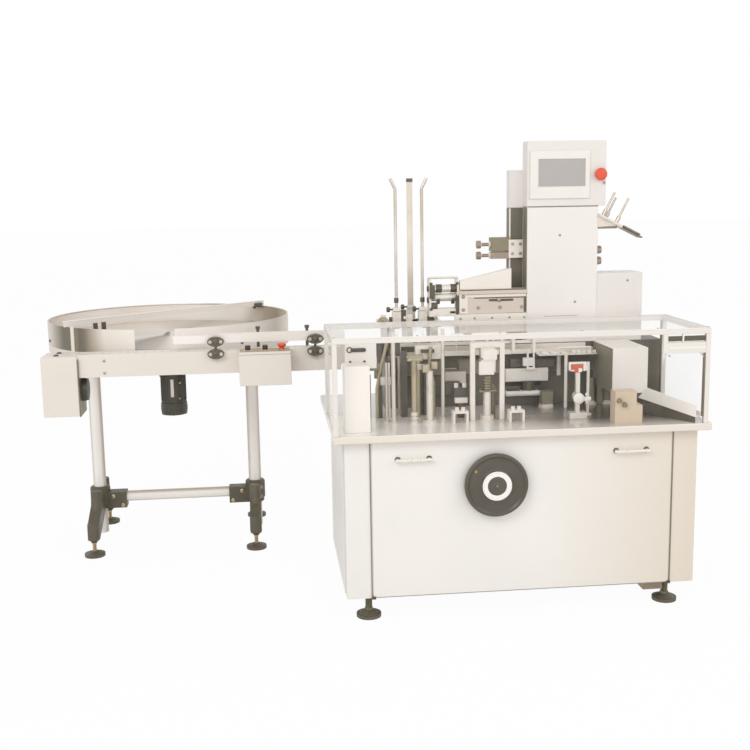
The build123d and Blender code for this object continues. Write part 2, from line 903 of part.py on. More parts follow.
# Small pillars at the back of the table
pillar_x = cabinet_length - pillar_from_right
pillar_y = housing_front - pillar_from_housing
pillar = upright(pillar_x, pillar_y, table_top, table_top + pillar_foot_height, pillar_foot_radius)
pillar += block(pillar_x - pillar_width / 2, pillar_x + pillar_width / 2,
                pillar_y - pillar_width / 2, pillar_y + pillar_width / 2,
                table_top + pillar_foot_height, table_top + pillar_height)
round_pillar_y = housing_front - round_pillar_from_housing
round_pillars = []
for from_right, height in ((dark_pillar_from_right, dark_pillar_height),
                           (white_pillar_from_right, white_pillar_height)):
    x = cabinet_length - from_right
    column = upright(x, round_pillar_y, table_top, table_top + height, round_pillar_radius)
    column += upright(x, round_pillar_y, table_top, table_top + pillar_foot_height, round_pillar_foot)
    round_pillars.append(column)
keep("table_pillars", pillar, *round_pillars)

# Chute hood, open towards the track and at its foot
chute_right = chute_left + chute_width
chute_back = housing_front - fascia_thickness
chute_front = chute_back - chute_depth
chute_bottom = table_top + chute_rise
chute_top = chute_bottom + chute_height
hood = block(chute_left, chute_right, chute_front, chute_back, chute_bottom, chute_top)
hood -= block(chute_left, chute_right - chute_sheet, chute_front + chute_sheet,
              chute_back - chute_sheet, chute_bottom, chute_top - chute_sheet)
hood -= block(chute_right - chute_sheet, chute_right, chute_front + chute_sheet,
              chute_front + chute_exit_depth, chute_bottom, chute_bottom + chute_exit_height)
keep("chute_hood", hood)

# Outfeed slide, a tilted trough that runs through the guard's bay, on a web that stands on the table
slide_start = table_top + slide_rise
slide_end = table_top + slide_end_rise
slide_left = chute_right - slide_lap
slide_place = Pos(slide_left, chute_front - slide_wall, 0) * Rot(0, 0, -slide_heading)
slide = slide_place * plate_xz(
    [(0, slide_start - slide_wall), (slide_length, slide_end - slide_wall),
     (slide_length, slide_end), (0, slide_start)],
    slide_wall, slide_depth)
slide += slide_place * plate_xz(
    [(0, slide_start - slide_wall), (slide_length, slide_end - slide_wall),
     (slide_length, slide_end + slide_flange), (slide_flange, slide_start + slide_flange)],
    0, slide_wall)
slide += slide_place * plate_xz(
    [(0, slide_start), (slide_length, slide_end),
     (slide_length, slide_end + slide_lip), (0, slide_start + slide_lip)],
    slide_depth - slide_wall, slide_depth)
keep("outfeed_slide", slide)
slide_fall = (slide_start - slide_end) / slide_length
web_end = slide_length - slide_web_inset
web = slide_place * plate_xz(
    [(slide_web_start, table_top), (web_end, table_top),
     (web_end, slide_start - slide_wall - web_end * slide_fall),
     (slide_web_start, slide_start - slide_wall - slide_web_start * slide_fall)],
    slide_web_inset, slide_web_inset + slide_wall)
keep("slide_web", web)

# Tower cover and display box
keep("tower_cover", block(tower_left, tower_right, tower_front, tower_back, housing_top, tower_top))
display = block(display_left, display_right, tower_front, tower_back, tower_top, display_top)
column_back = tower_back + column_depth
display += block(column_left, column_right, tower_back, column_back, column_top, cap_top)
keep("display_box", display)
bezel_front = tower_front - bezel_thickness
bezel = block(bezel_left, bezel_left + bezel_width, bezel_front, tower_front,
              bezel_bottom, bezel_bottom + bezel_height)
screen_left = bezel_left + screen_inset
screen_bottom = bezel_bottom + screen_rise
bezel -= block(screen_left, screen_left + screen_width, bezel_front, bezel_front + screen_recess,
               screen_bottom, screen_bottom + screen_height)
keep("display_bezel", bezel)


def stop_button(x, z, y_face):
    """A mushroom button facing the front."""
    button = bar_y(x, y_face - stop_collar_length, y_face, z, stop_collar_radius)
    button += bar_y(x, y_face - stop_collar_length - stop_head_length,
                    y_face - stop_collar_length, z, stop_radius)
    return button


# Feeder column behind the tower cover
keep("feeder_column", block(column_left, column_right, tower_back, column_back,
                            housing_top, column_top))

# Feeder arms
arm_y = tower_back - arm_plate_thickness
arm_plate_left = column_left - arm_plate_reach
arm_plate_bottom = tower_top - arm_plate_drop
arms = block(arm_plate_left, tower_left, arm_y, tower_back,
             arm_plate_bottom, arm_plate_bottom + arm_plate_height)
arm_box_left = column_left - arm_box_length
arm_rod_left = arm_box_left - arm_rod_length
for drop, height in arm_boxes:
    low = tower_top - drop
    high = low + height
    arms += block(arm_box_left, column_left, arm_y, arm_y + arm_box_depth, low, high)
    middle = (low + high) / 2
    arms += bar_x(arm_rod_left, arm_box_left, arm_y + arm_box_depth / 2, middle, arm_rod_radius)
    arms += bar_x(arm_rod_left - arm_knob_length, arm_rod_left, arm_y + arm_box_depth / 2,
                  middle, arm_knob_radius)
keep("feeder_arms", arms)

# Leaflet feeder on the right side of the tower
tilt = math.radians(tray_tilt)
tray_left = tower_right
tray_front = tower_front - tray_proud
tray_top_z = tower_top - tray_drop
tray_place = Pos(tray_left + tray_thickness * math.sin(tilt), tray_front, tray_top_z)
tray_place = tray_place * Rot(0, tray_tilt, 0)
tray = tray_place * block(0, tray_run / math.cos(tilt), 0, tray_depth, -tray_thickness, 0)
bracket_low = tray_top_z - tray_bracket_height
tray_bracket = plate_xz(
    [(tray_left, bracket_low), (tray_left + tray_run, bracket_low + tray_thickness / 2),
     (tray_left + tray_run, tray_top_z - tray_run * math.tan(tilt) - tray_thickness / 2),
     (tray_left, tray_top_z - tray_thickness / 2)],
    tower_front, tower_front + tray_bracket_depth)
tray_length = tray_run / math.cos(tilt)
blade = tray_place * block(tray_length - tray_thickness, tray_length + tray_blade_length,
                           tray_thickness, tray_depth - tray_thickness,
                           -tray_thickness, -tray_thickness + tray_blade_thickness)
keep("leaflet_tray", tray + tray_bracket + blade)
tray_rods = []
for (along, across), length in zip(tray_rod_places, tray_rod_lengths):
    rod = upright(along, across, 0, length, tray_rod_radius)
    rod += upright(along, across, 0, tray_sleeve_length, tray_sleeve_radius)
    tray_rods.append(tray_place * rod)
keep("leaflet_rods", *tray_rods)
side_knobs = [
    bar_x(tower_right, tower_right + side_knob_length, tower_front + side_knob_inset,
          side_box_top + rise, side_knob_radius)
    for rise in side_knob_rises
]

side_box_right = tower_right + side_box_length
side_box_back = housing_front + side_box_depth
side_box = block(tower_right, side_box_right, housing_front, side_box_back, housing_top, side_box_top)
lid_x = (tower_right + side_box_right) / 2
lid_y = (housing_front + side_box_back) / 2
side_box += upright(lid_x, lid_y, side_box_top, side_box_top + side_box_lid_height,
                    side_box_lid_radius)
keep("side_box", side_box)

# Beam and plates left of the tower
beam_front = housing_front
beam = block(beam_left, tower_left, beam_front, beam_front + beam_depth, beam_bottom, beam_top)
beam += block(beam_end_left, beam_left, beam_front, beam_front + beam_depth, beam_bottom, beam_top)
beam += block(beam_end_left, tower_left, beam_front - beam_ledge_reach, beam_front + beam_depth,
              beam_top, beam_top + beam_ledge_height)
beam_foot_left = beam_end_left + beam_foot_start
beam += block(beam_foot_left, beam_foot_left + beam_foot_width, beam_front, beam_front + beam_depth,
              housing_top, beam_bottom)
keep("line_beam", beam)
line_plate = block(beam_end_left - line_plate_reach, tower_left, housing_front - line_plate_thickness,
                   housing_front, beam_bottom - line_plate_height, beam_bottom)
ledge_top = beam_top + beam_ledge_height
slope_left = beam_end_left + slope_start
slope_right = column_left - slope_column_gap
slope = plate_xz(
    [(slope_left, ledge_top), (slope_right, ledge_top),
     (slope_right, ledge_top + slope_high_height), (slope_left, ledge_top + slope_low_height)],
    beam_front, beam_front + slope_depth)
keep("line_plates", line_plate, slope)

# Rollers in their side plates
roller_back = housing_front + roller_frame_depth
roller_right = beam_end_left
roller_frame_bottom = housing_top + roller_frame_rise
roller_frame_top = roller_frame_bottom + roller_frame_height
roller_frame = block(roller_left, roller_left + roller_plate, housing_front, roller_back,
                     roller_frame_bottom, roller_frame_top)
roller_frame += block(roller_right - roller_plate, roller_right, housing_front, roller_back,
                      roller_frame_bottom, roller_frame_top)
roller_frame += block(roller_left, roller_right, housing_front, roller_back,
                      roller_frame_bottom - roller_block_height, roller_frame_bottom)
roller_y = (housing_front + roller_back) / 2
for rise in roller_rises:
    roller_frame += bar_x(roller_left + roller_plate, roller_right - roller_plate, roller_y,
                          roller_frame_bottom + rise, roller_radius)
roller_frame += bar_x(roller_left, roller_right, roller_y, roller_frame_top + roller_core_radius,
                      roller_core_radius)
keep("roller_frame", roller_frame)

# Magazine base on legs, and its rods
magazine_base_right = roller_left + magazine_base_lap
magazine_base_left = magazine_base_right - magazine_base_length
magazine_base_front = housing_front + magazine_base_inset
magazine_base_back = magazine_base_front + magazine_base_depth
magazine_base_bottom = housing_top + magazine_base_rise
base_top = magazine_base_bottom + magazine_base_thickness
base = block(magazine_base_left, magazine_base_right, magazine_base_front, magazine_base_back,
             magazine_base_bottom, base_top)
for x in (magazine_base_left + magazine_left_leg_start, magazine_base_right - magazine_right_leg_inset):
    for y in (magazine_base_front, magazine_base_back - magazine_leg):
        base += block(x, x + magazine_leg, y, y + magazine_leg, housing_top, magazine_base_bottom)
rod_y = magazine_base_front + magazine_rod_inset
magazine_rods = [(magazine_base_left + start, rod_y) for start in magazine_rod_starts]
magazine_back_bar = (magazine_base_left + magazine_back_start, magazine_base_back - magazine_back_inset)
for x, y in [*magazine_rods, magazine_back_bar]:
    half = magazine_block_width / 2
    base += block(x - half, x + half, y - magazine_block_depth / 2, y + magazine_block_depth / 2,
                  base_top, base_top + magazine_block_height)
keep("magazine_base", base)
rod_bottom = base_top + magazine_block_height
magazine_top = rod_bottom + magazine_rod_length
back_x, back_y = magazine_back_bar
rods = []
for (x, y), side in zip(magazine_rods, (-1, 1)):
    bend = magazine_top - magazine_flare_height
    path = Polyline((x, y, rod_bottom), (x, y, bend), (x + side * magazine_flare_reach, y, magazine_top))
    section = Plane(origin=(x, y, rod_bottom), z_dir=(0, 0, 1)) * Circle(magazine_rod_radius)
    rods.append(sweep(section, path=path, transition=Transition.ROUND))
rods.append(block(back_x - magazine_back_width / 2, back_x + magazine_back_width / 2,
                  back_y - magazine_back_thickness / 2, back_y + magazine_back_thickness / 2,
                  rod_bottom, magazine_top))
keep("magazine_rods", *rods)

# Conveyor side plates with spacers, wear strips, transfer plate and tail foot
front_inner = conveyor_front + conveyor_plate
rear_inner = front_inner + conveyor_gap
lane_middle = (front_inner + rear_inner) / 2
sides = block(conveyor_left, conveyor_right, conveyor_front, front_inner,
              conveyor_bottom, conveyor_top)
rear_side = block(conveyor_left, conveyor_right, rear_inner, conveyor_back,
                  conveyor_bottom, conveyor_top)
transfer_top = conveyor_top - chain_drop
rear_side -= block(rim_gap_left, rim_gap_right, rear_inner, conveyor_back,
                   transfer_top - transfer_thickness, conveyor_top)
sides += rear_side
sides += block(rim_gap_left, rim_gap_right, rear_inner, conveyor_back + transfer_reach,
               transfer_top - transfer_thickness, transfer_top)
tail_right = conveyor_right + tail_length
tail_top = conveyor_top + tail_rise
tail_bottom = tail_top - tail_height
tails = block(conveyor_right, tail_right, conveyor_front, front_inner, tail_bottom, tail_top)
tails += block(conveyor_right, tail_right, rear_inner, conveyor_back, tail_bottom, tail_top)
tail_slot_left = conveyor_right + tail_slot_start
slot_z0 = conveyor_top - tail_slot_drop - tail_slot_height / 2
tails -= block(tail_slot_left, tail_slot_left + tail_slot_length, conveyor_front, conveyor_back,
               slot_z0, slot_z0 + tail_slot_height)
sides += tails
strip_top = transfer_top - chain_thickness
for y0 in (front_inner, rear_inner - wear_strip_width):
    sides += block(conveyor_left + spacer_inset, tail_slot_left, y0, y0 + wear_strip_width,
                   strip_top - wear_strip_height, strip_top)
spacer_z = conveyor_top - spacer_drop
spacer_pitch = (conveyor_right - conveyor_left - 2 * spacer_inset) / (spacer_count - 1)
for index in range(spacer_count):
    sides += bar_y(conveyor_left + spacer_inset + index * spacer_pitch, front_inner, rear_inner,
                   spacer_z, spacer_radius)
tail_foot_x = conveyor_right + tail_foot_start
sides += block(tail_foot_x, tail_foot_x + tail_foot_size, front_inner, rear_inner,
               tail_bottom - conveyor_plate, tail_bottom)
sides += block(tail_foot_x, tail_foot_x + tail_foot_size, conveyor_front, conveyor_back,
               tail_bottom - 2 * conveyor_plate, tail_bottom)
sides += block(tail_foot_x, tail_foot_x + tail_foot_size, lane_middle - tail_foot_size / 2,
               lane_middle + tail_foot_size / 2, table_top, tail_bottom - 2 * conveyor_plate)
keep("conveyor_frame", sides)

chain_top = transfer_top
chain_low = tail_bottom + chain_thickness
chain_radius = (chain_top - chain_low) / 2
chain_z = (chain_top + chain_low) / 2
chain_x0 = conveyor_left + chain_end_inset + chain_radius
chain_x1 = tail_right - chain_end_inset - chain_radius
chain_plane = Plane(origin=((chain_x0 + chain_x1) / 2, lane_middle + chain_width / 2, chain_z),
                    x_dir=(1, 0, 0), z_dir=(0, -1, 0))
chain = extrude(chain_plane * SlotCenterToCenter(chain_x1 - chain_x0, 2 * chain_radius), chain_width)
hollow = SlotCenterToCenter(chain_x1 - chain_x0, 2 * (chain_radius - chain_thickness))
chain -= extrude(chain_plane * hollow, chain_width)
keep("conveyor_chain", chain)

# Guide rails and their clamps
rail_front = lane_middle - lane_width / 2 - rail_thickness
rail_back = lane_middle + lane_width / 2
rail_z0 = transfer_top + rail_lift
rail_right = conveyor_right + rail_reach
keep("guide_rails",
     block(rim_gap_right, rail_right, rail_front, rail_front + rail_thickness,
           rail_z0, rail_z0 + rail_height),
     block(rear_rail_left, rail_right, rail_back, rail_back + rail_thickness,
           rail_z0, rail_z0 + rail_height))
clamps = []
for x in front_clamps:
    low_z = conveyor_top - clamp_lower_drop
    high_z = conveyor_top + clamp_upper_rise
    y0 = conveyor_front - clamp_oval_depth
    clamp = oval_y(x, low_z, y0, conveyor_front, clamp_oval_width, clamp_oval_height)
    clamp += oval_y(x, high_z, y0, conveyor_front, clamp_oval_width, clamp_oval_height)
    clamp += upright(x, y0 + clamp_oval_depth / 2, low_z, high_z, clamp_rod_radius)
    clamp += bar_y(x, conveyor_front - clamp_oval_depth / 2, rail_front,
                   rail_z0 + rail_height / 2, clamp_rod_radius)
    clamps.append(clamp)
for x in rear_clamps:
    post_y = conveyor_back + rear_post_radius
    post_top = rail_z0 + rail_height + rear_knob_height
    clamp = upright(x, post_y, conveyor_bottom, post_top, rear_post_radius)
    clamp += upright(x, post_y, post_top, post_top + rear_knob_height, rear_knob_radius)
    clamp += bar_y(x, rail_back + rail_thickness, post_y, rail_z0 + rail_height / 2, clamp_rod_radius)
    clamps.append(clamp)
keep("rail_clamps", *clamps)

# Drive box and control box
drive_left = conveyor_left - drive_length
drive_front = conveyor_front - drive_proud
drive_top = conveyor_top - drive_drop
drive_bottom = drive_top - drive_height
drive_box = block(drive_left, conveyor_left, drive_front, drive_front + drive_depth,
                  drive_bottom, drive_top)
keep("drive_box", drive_box)
drive_motor = bar_x(conveyor_left, conveyor_left + drive_motor_length, drive_front + drive_motor_inset,
                    drive_bottom + drive_motor_rise, drive_motor_radius)
control_front = conveyor_front - control_depth
control_top = conveyor_top + control_proud
keep("control_box", block(control_left, control_left + control_width, control_front, conveyor_front,
                          control_top - control_height, control_top))
control_y = (control_front + conveyor_front) / 2
box_knobs = [
    upright(control_left + start, control_y, control_top, control_top + control_knob_height,
            control_knob_radius)
    for start in control_knobs
]
box_stop = upright(control_left + control_stop_start, control_y, control_top, control_top + control_stop_height,
                   control_stop_radius)
display_stop = stop_button(display_right - stop_inset, tower_top + stop_rise, tower_front)
keep("hand_knobs", *side_knobs, *box_knobs)
keep("stop_buttons", display_stop, box_stop)

# Turntable pan on two beams
pan = upright(turntable_x, turntable_y, pan_bottom, pan_top, turntable_radius)
pan += upright(turntable_x, turntable_y, pan_hub_bottom, pan_top, pan_hub_radius)
for x, beam_start in ((tube_left_x, drive_front + drive_depth), (tube_right_x, conveyor_back)):
    pan += block(x - bed_beam_width / 2, x + bed_beam_width / 2, beam_start,
                 turntable_y + bed_beam_reach, conveyor_bottom, pan_bottom)
shaft_bore = disc_shaft_radius + disc_running_gap
pan -= upright(turntable_x, turntable_y, pan_hub_bottom, pan_top, shaft_bore)
keep("turntable_bed", pan)

rim = upright(turntable_x, turntable_y, pan_top, rim_top, turntable_radius)
rim -= upright(turntable_x, turntable_y, pan_top, rim_top, turntable_radius - rim_thickness)
rim -= block(rim_gap_left, rim_gap_right, turntable_y - turntable_radius, turntable_y,
             pan_top, rim_top)
keep("turntable_rim", rim)

disc_bottom = pan_top + disc_lift
disc_top = disc_bottom + disc_thickness
disc = upright(turntable_x, turntable_y, disc_bottom, disc_top, disc_radius)
disc += cone_up(turntable_x, turntable_y, disc_top, disc_top + disc_hub_height,
                disc_hub_radius, disc_hub_top_radius)
disc += upright(turntable_x, turntable_y, pan_hub_bottom + disc_shaft_rise, disc_bottom,
                disc_shaft_radius)
keep("turntable_disc", disc)

motor_body_top = pan_hub_bottom - gearbox_height
motor_bottom = motor_body_top - motor_length
motor = upright(turntable_x, turntable_y, motor_bottom, motor_bottom + motor_fan_height,
                motor_fan_radius)
motor += upright(turntable_x, turntable_y, motor_bottom, motor_body_top, motor_radius)
motor += block(turntable_x - gearbox_size / 2, turntable_x + gearbox_size / 2,
               turntable_y - gearbox_size / 2, turntable_y + gearbox_size / 2,
               motor_body_top, pan_hub_bottom)
keep("gear_motors", motor, drive_motor)

# Diverter bar from the front left of the rim to its right rear
start = (turntable_x + turntable_radius * math.cos(math.radians(bar_start_angle)),
         turntable_y + turntable_radius * math.sin(math.radians(bar_start_angle)))
end = (turntable_x + turntable_radius * math.cos(math.radians(bar_end_angle)),
       turntable_y + turntable_radius * math.sin(math.radians(bar_end_angle)))
span = math.dist(start, end)
heading = math.degrees(math.atan2(end[1] - start[1], end[0] - start[0]))
bar_place = Pos(start[0], start[1], rim_top) * Rot(0, 0, heading)
diverter = bar_place * block(-bar_overhang, span + bar_overhang, -bar_thickness / 2,
                             bar_thickness / 2, 0, bar_height)
for share in hanger_positions:
    diverter += bar_place * block(share * span, share * span + hanger_width, -bar_thickness / 2,
                                  bar_thickness / 2, -hanger_drop, 0)
keep("diverter_bar", diverter)

# Support tubes, brackets and feet
tubes = []
for x in (tube_left_x, tube_right_x):
    tube = upright(x, turntable_y, tube_bottom, conveyor_bottom, tube_radius)
    tube -= upright(x, turntable_y, tube_bottom, conveyor_bottom, tube_radius - tube_wall)
    tubes.append(tube)
cross_left = tube_left_x + bracket_arm
cross_right = tube_right_x - bracket_arm
cross = bar_x(cross_left, cross_right, turntable_y, cross_tube_z, cross_tube_radius)
cross -= bar_x(cross_left, cross_right, turntable_y, cross_tube_z, cross_tube_radius - tube_wall)
keep("support_tubes", *tubes, cross)


def bipod(x, side):
    """A clamp round the tube with an arm for the cross tube and two spread legs."""
    collar_r = bracket_collar
    part = upright(x, turntable_y, bracket_bottom, bracket_top, collar_r)
    x0, x1 = sorted((x, x + side * bracket_arm))
    part += block(x0, x1, turntable_y - bracket_arm_depth / 2, turntable_y + bracket_arm_depth / 2,
                  bracket_bottom, bracket_bottom + bracket_arm_height)
    for way in (-1, 1):
        knee = turntable_y + way * bipod_reach
        near = turntable_y + way * bipod_leg_root
        outline = [(near, bracket_top),
                   (knee + way * bipod_leg_tip / 2, bipod_leg_bottom + bipod_leg_tip_height),
                   (knee + way * bipod_leg_tip / 2, bipod_leg_bottom),
                   (knee - way * bipod_leg_tip / 2, bipod_leg_bottom), (near, bracket_bottom)]
        part += plate_yz(outline, x - bipod_leg_width / 2, x + bipod_leg_width / 2)
    part -= upright(x, turntable_y, 0, bracket_top, tube_radius)
    return part


keep("bipod_brackets", bipod(tube_left_x, 1), bipod(tube_right_x, -1))


def stand_foot(x, y):
    """A disc foot with a spindle that screws into the leg."""
    foot = upright(x, y, 0, bipod_disc_height, bipod_disc_radius)
    cone_top = bipod_disc_height + bipod_cone_height
    foot += cone_up(x, y, bipod_disc_height, cone_top, bipod_cone_base, bipod_cone_radius)
    foot += upright(x, y, 0, bipod_leg_bottom, bipod_spindle_radius)
    return foot


stand_feet = [
    stand_foot(x, turntable_y + way * bipod_reach)
    for x in (tube_left_x, tube_right_x) for way in (-1, 1)
]
keep("levelling_feet", *cabinet_feet, *stand_feet)

# Move the origin to the middle of the footprint and write one file per node
boxes = [solid.bounding_box() for solids in pieces.values() for solid in solids]
middle_x = (min(box.min.X for box in boxes) + max(box.max.X for box in boxes)) / 2
middle_y = (min(box.min.Y for box in boxes) + max(box.max.Y for box in boxes)) / 2
shift = Pos(-middle_x, -middle_y, 0)
for name, solids in pieces.items():
    moved = [shift * solid for solid in solids]
    shape = moved[0] if len(moved) == 1 else Compound(moved)
    export_step(shape, f"parts/{name}.step")

print("nodes", len(pieces))
print("shift", round(-middle_x, 4), round(-middle_y, 4))
print("handwheel axis", round(wheel_x - middle_x, 3), round(wheel_front - middle_y, 3), wheel_z)
print("turntable axis", round(turntable_x - middle_x, 3), round(turntable_y - middle_y, 3), disc_top)
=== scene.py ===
"""The looks of a packaging machine with a bottle turntable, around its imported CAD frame."""
import json
import math

import bmesh
import bpy
from mathutils import Matrix, Vector


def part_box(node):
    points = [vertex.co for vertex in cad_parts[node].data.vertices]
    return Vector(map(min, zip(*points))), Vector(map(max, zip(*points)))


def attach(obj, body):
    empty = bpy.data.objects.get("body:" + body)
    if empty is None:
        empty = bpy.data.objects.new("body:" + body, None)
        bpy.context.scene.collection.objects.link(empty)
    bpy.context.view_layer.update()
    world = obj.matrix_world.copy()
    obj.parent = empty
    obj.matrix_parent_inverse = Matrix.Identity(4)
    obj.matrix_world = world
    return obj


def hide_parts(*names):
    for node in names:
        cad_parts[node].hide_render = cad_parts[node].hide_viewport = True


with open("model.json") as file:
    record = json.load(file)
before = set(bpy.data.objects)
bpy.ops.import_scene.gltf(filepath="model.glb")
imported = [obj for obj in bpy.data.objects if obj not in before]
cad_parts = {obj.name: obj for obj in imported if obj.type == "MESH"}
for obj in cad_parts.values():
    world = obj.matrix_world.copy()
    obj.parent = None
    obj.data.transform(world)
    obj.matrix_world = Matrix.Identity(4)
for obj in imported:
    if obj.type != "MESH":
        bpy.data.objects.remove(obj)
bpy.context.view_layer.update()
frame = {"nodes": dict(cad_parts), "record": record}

MM = 0.001
CORNER = Vector((*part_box("cabinet_body")[0].xy, 0.0))
MACHINE = "machine"
BEVEL = {"affect": "EDGES", "profile": 0.5, "material": -1}
SMOOTH_ANGLE = math.radians(38)
SHARP_ANGLE = math.radians(30)
FLAT_ANGLE = math.radians(1)
MERGE_DISTANCE = 0.00002
ACROSS, BACK, UP = Vector((1, 0, 0)), Vector((0, 1, 0)), Vector((0, 0, 1))
LEFT, FRONT, DOWN = -ACROSS, -BACK, -UP


def at(x, y, z):
    """A place given in millimetres from the cabinet's front left corner, on the floor."""
    return CORNER + Vector((x, y, z)) * MM


def node_mm(node):
    """A node's lowest and highest corner in the same millimetres."""
    low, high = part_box(node)
    return (low - CORNER) / MM, (high - CORNER) / MM


# Camera

EYE = (-311.1, -4229.2, 1771.1)
EYE_YAW = 6.004
EYE_PITCH = 9.479
EYE_ROLL = 0.918
FOCAL_PIXELS = 1064.1
PICTURE = 750
SENSOR = 36.0
CENTRE_PIXEL = (375.5, 373.5)


def make_camera():
    """The photograph's viewpoint."""
    yaw, pitch, roll = (math.radians(a) for a in (EYE_YAW, EYE_PITCH, EYE_ROLL))
    ahead = Vector((math.sin(yaw) * math.cos(pitch), math.cos(yaw) * math.cos(pitch), -math.sin(pitch)))
    right = Vector((math.cos(yaw), -math.sin(yaw), 0.0))
    down = ahead.cross(right)
    right, down = (right * math.cos(roll) + down * math.sin(roll),
                   down * math.cos(roll) - right * math.sin(roll))
    data = bpy.data.cameras.new("camera")
    data.sensor_width = SENSOR
    data.lens = SENSOR * FOCAL_PIXELS / PICTURE
    data.shift_x = (PICTURE / 2 - CENTRE_PIXEL[0]) / PICTURE
    data.shift_y = (CENTRE_PIXEL[1] - PICTURE / 2) / PICTURE
    camera = bpy.data.objects.new("camera", data)
    turn = Matrix((right, -down, -ahead)).transposed().to_4x4()
    camera.matrix_world = Matrix.Translation(at(*EYE)) @ turn
    bpy.context.scene.collection.objects.link(camera)
    bpy.context.scene.camera = camera


# Shader maths


class Value:
    """A number socket that takes part in Python expressions."""

    def __init__(self, nodes, socket):
        self.nodes = nodes
        self.socket = socket

    def _math(self, operation, *values):
        return Value(self.nodes, self.nodes.node("ShaderNodeMath", {"operation": operation}, values))

    def __add__(self, other):
        return self._math("ADD", self, other)

    def __mul__(self, other):
        return self._math("MULTIPLY", self, other)

    def __sub__(self, other):
        return self._math("SUBTRACT", self, other)

    def __rsub__(self, other):
        return self._math("SUBTRACT", other, self)

    def __pow__(self, other):
        return self._math("POWER", self, other)

    __radd__ = __add__
    __rmul__ = __mul__

    def absolute(self):
        return self._math("ABSOLUTE", self)

    def or_more(self, other):
        return self._math("MAXIMUM", self, other)

    def clamp(self):
        return self._math("MINIMUM", self.or_more(0.0), 1.0)

    def turned_from(self, across):
        """The share of a full turn that this and another coordinate stand at, from 0 to 1."""
        return self._math("ARCTAN2", self, across) * (1.0 / math.tau) + 0.5

    def above(self, edge, soft):
        """0 under edge, 1 over edge + soft, and a ramp between."""
        return ((self - edge) * (1.0 / soft)).clamp()


class Nodes:
    """A node tree, and one way to add any node."""

    def __init__(self, tree):
        self.tree = tree

    def node(self, kind, settings, inputs, output=0):
        """Adds a node and returns one of its outputs."""
        made = self.tree.nodes.new(kind)
        for key, value in settings.items():
            if key == "stops":
                while len(made.color_ramp.elements) < len(value):
                    made.color_ramp.elements.new(0.5)
                for element, (position, colour) in zip(made.color_ramp.elements, value):
                    element.position = position
                    element.color = (*colour, 1.0)
            else:
                setattr(made, key, value)
        pairs = inputs.items() if isinstance(inputs, dict) else enumerate(inputs)
        for key, value in pairs:
            socket = made.inputs[key]
            value = getattr(value, "socket", value)
            if isinstance(value, bpy.types.NodeSocket):
                self.tree.links.new(value, socket)
            elif socket.type == "RGBA":
                socket.default_value = (*value, 1.0)
            else:
                socket.default_value = value
        return made.outputs[output]


class Paint(Nodes):
    """One material and its shader, with the patterns that its values come from."""

    def __init__(self, name, **settings):
        self.material = bpy.data.materials.new(name)
        self.material.use_nodes = True
        super().__init__(self.material.node_tree)
        self.shader = self.tree.nodes["Principled BSDF"]
        self.place = self.node("ShaderNodeTexCoord", {}, {}, "Object")
        for key, value in settings.items():
            socket = self.shader.inputs[key.replace("_", " ").title().replace("Ior", "IOR")]
            socket.default_value = (*value, 1.0) if isinstance(value, tuple) else value

    def noise(self, scale, detail=3.0, stretch=(1.0, 1.0, 1.0)):
        """Soft noise on Object coordinates, which may be stretched along an axis."""
        where = self.node("ShaderNodeMapping", {}, {"Vector": self.place, "Scale": stretch})
        made = self.node("ShaderNodeTexNoise", {}, {"Vector": where, "Scale": scale, "Detail": detail}, "Fac")
        return Value(self, made)

    def axis(self, name):
        """One of the object's own coordinates, in metres."""
        return Value(self, self.node("ShaderNodeSeparateXYZ", {}, {"Vector": self.place}, name))

    def blend(self, share, first, second):
        """A colour between two others."""
        return self.node("ShaderNodeMix", {"data_type": "RGBA"}, {0: share, 6: first, 7: second}, 2)

    def feed(self, **sockets):
        """Links values to the shader."""
        for key, value in sockets.items():
            socket = self.shader.inputs[key.replace("_", " ").title()]
            self.tree.links.new(getattr(value, "socket", value), socket)

    def bump(self, height, strength, distance=0.001):
        """Raises the surface a little by a value."""
        settings = {"Height": height, "Strength": strength, "Distance": distance}
        self.feed(normal=self.node("ShaderNodeBump", {}, settings, "Normal"))


CLOUD_SHADE = 0.955


def scaled(colour, share):
    """A colour made lighter or darker."""
    return tuple(part * share for part in colour)


def satin_sheet(name, colour, roughness=0.4, metallic=0.0, grain=(2.0, 2.0, 70.0), far=None, start=0.8,
                run=0.7, way="X"):
    """Satin sheet: broad soft clouds, brushing that shows only in the sheen, a few wiped marks.

    far is a second colour that the sheet takes on along one axis of the machine, from start on and over run;
    on the cabinet it is painted shade toward its right end.
    """
    paint = Paint(name, metallic=metallic, specular_ior_level=0.4)
    clouds = paint.noise(1.5, 3.0)
    brushed = paint.noise(24.0, 3.0, grain)
    marks = paint.noise(7.0, 5.0).above(0.57, 0.14)
    tone = (clouds * 0.85 + brushed * 0.15 - marks * 0.1).clamp()
    base = paint.blend(tone.above(0.36, 0.3), scaled(colour, CLOUD_SHADE), colour)
    if far:
        edge = start + (CORNER.x if way == "X" else CORNER.z)
        base = paint.blend(paint.axis(way).above(edge, run), base, far)
    paint.feed(base_color=base, roughness=roughness + (brushed - 0.5) * 0.16 + marks * 0.06)
    paint.bump(brushed, 0.02)
    return paint.material


def brushed_steel(name, colour, dark):
    """Stainless steel, brushed along one way, with soft darker stretches."""
    paint = Paint(name, metallic=0.5)
    lines = paint.noise(30.0, 4.0, (1.0, 1.0, 40.0))
    stretches = paint.noise(3.5, 2.0)
    base = paint.blend((lines * 0.25 + stretches * 0.75).above(0.4, 0.25), dark, colour)
    paint.feed(base_color=base, roughness=0.3 + (lines - 0.5) * 0.14 + (stretches - 0.5) * 0.1)
    paint.bump(lines, 0.05)
    return paint.material


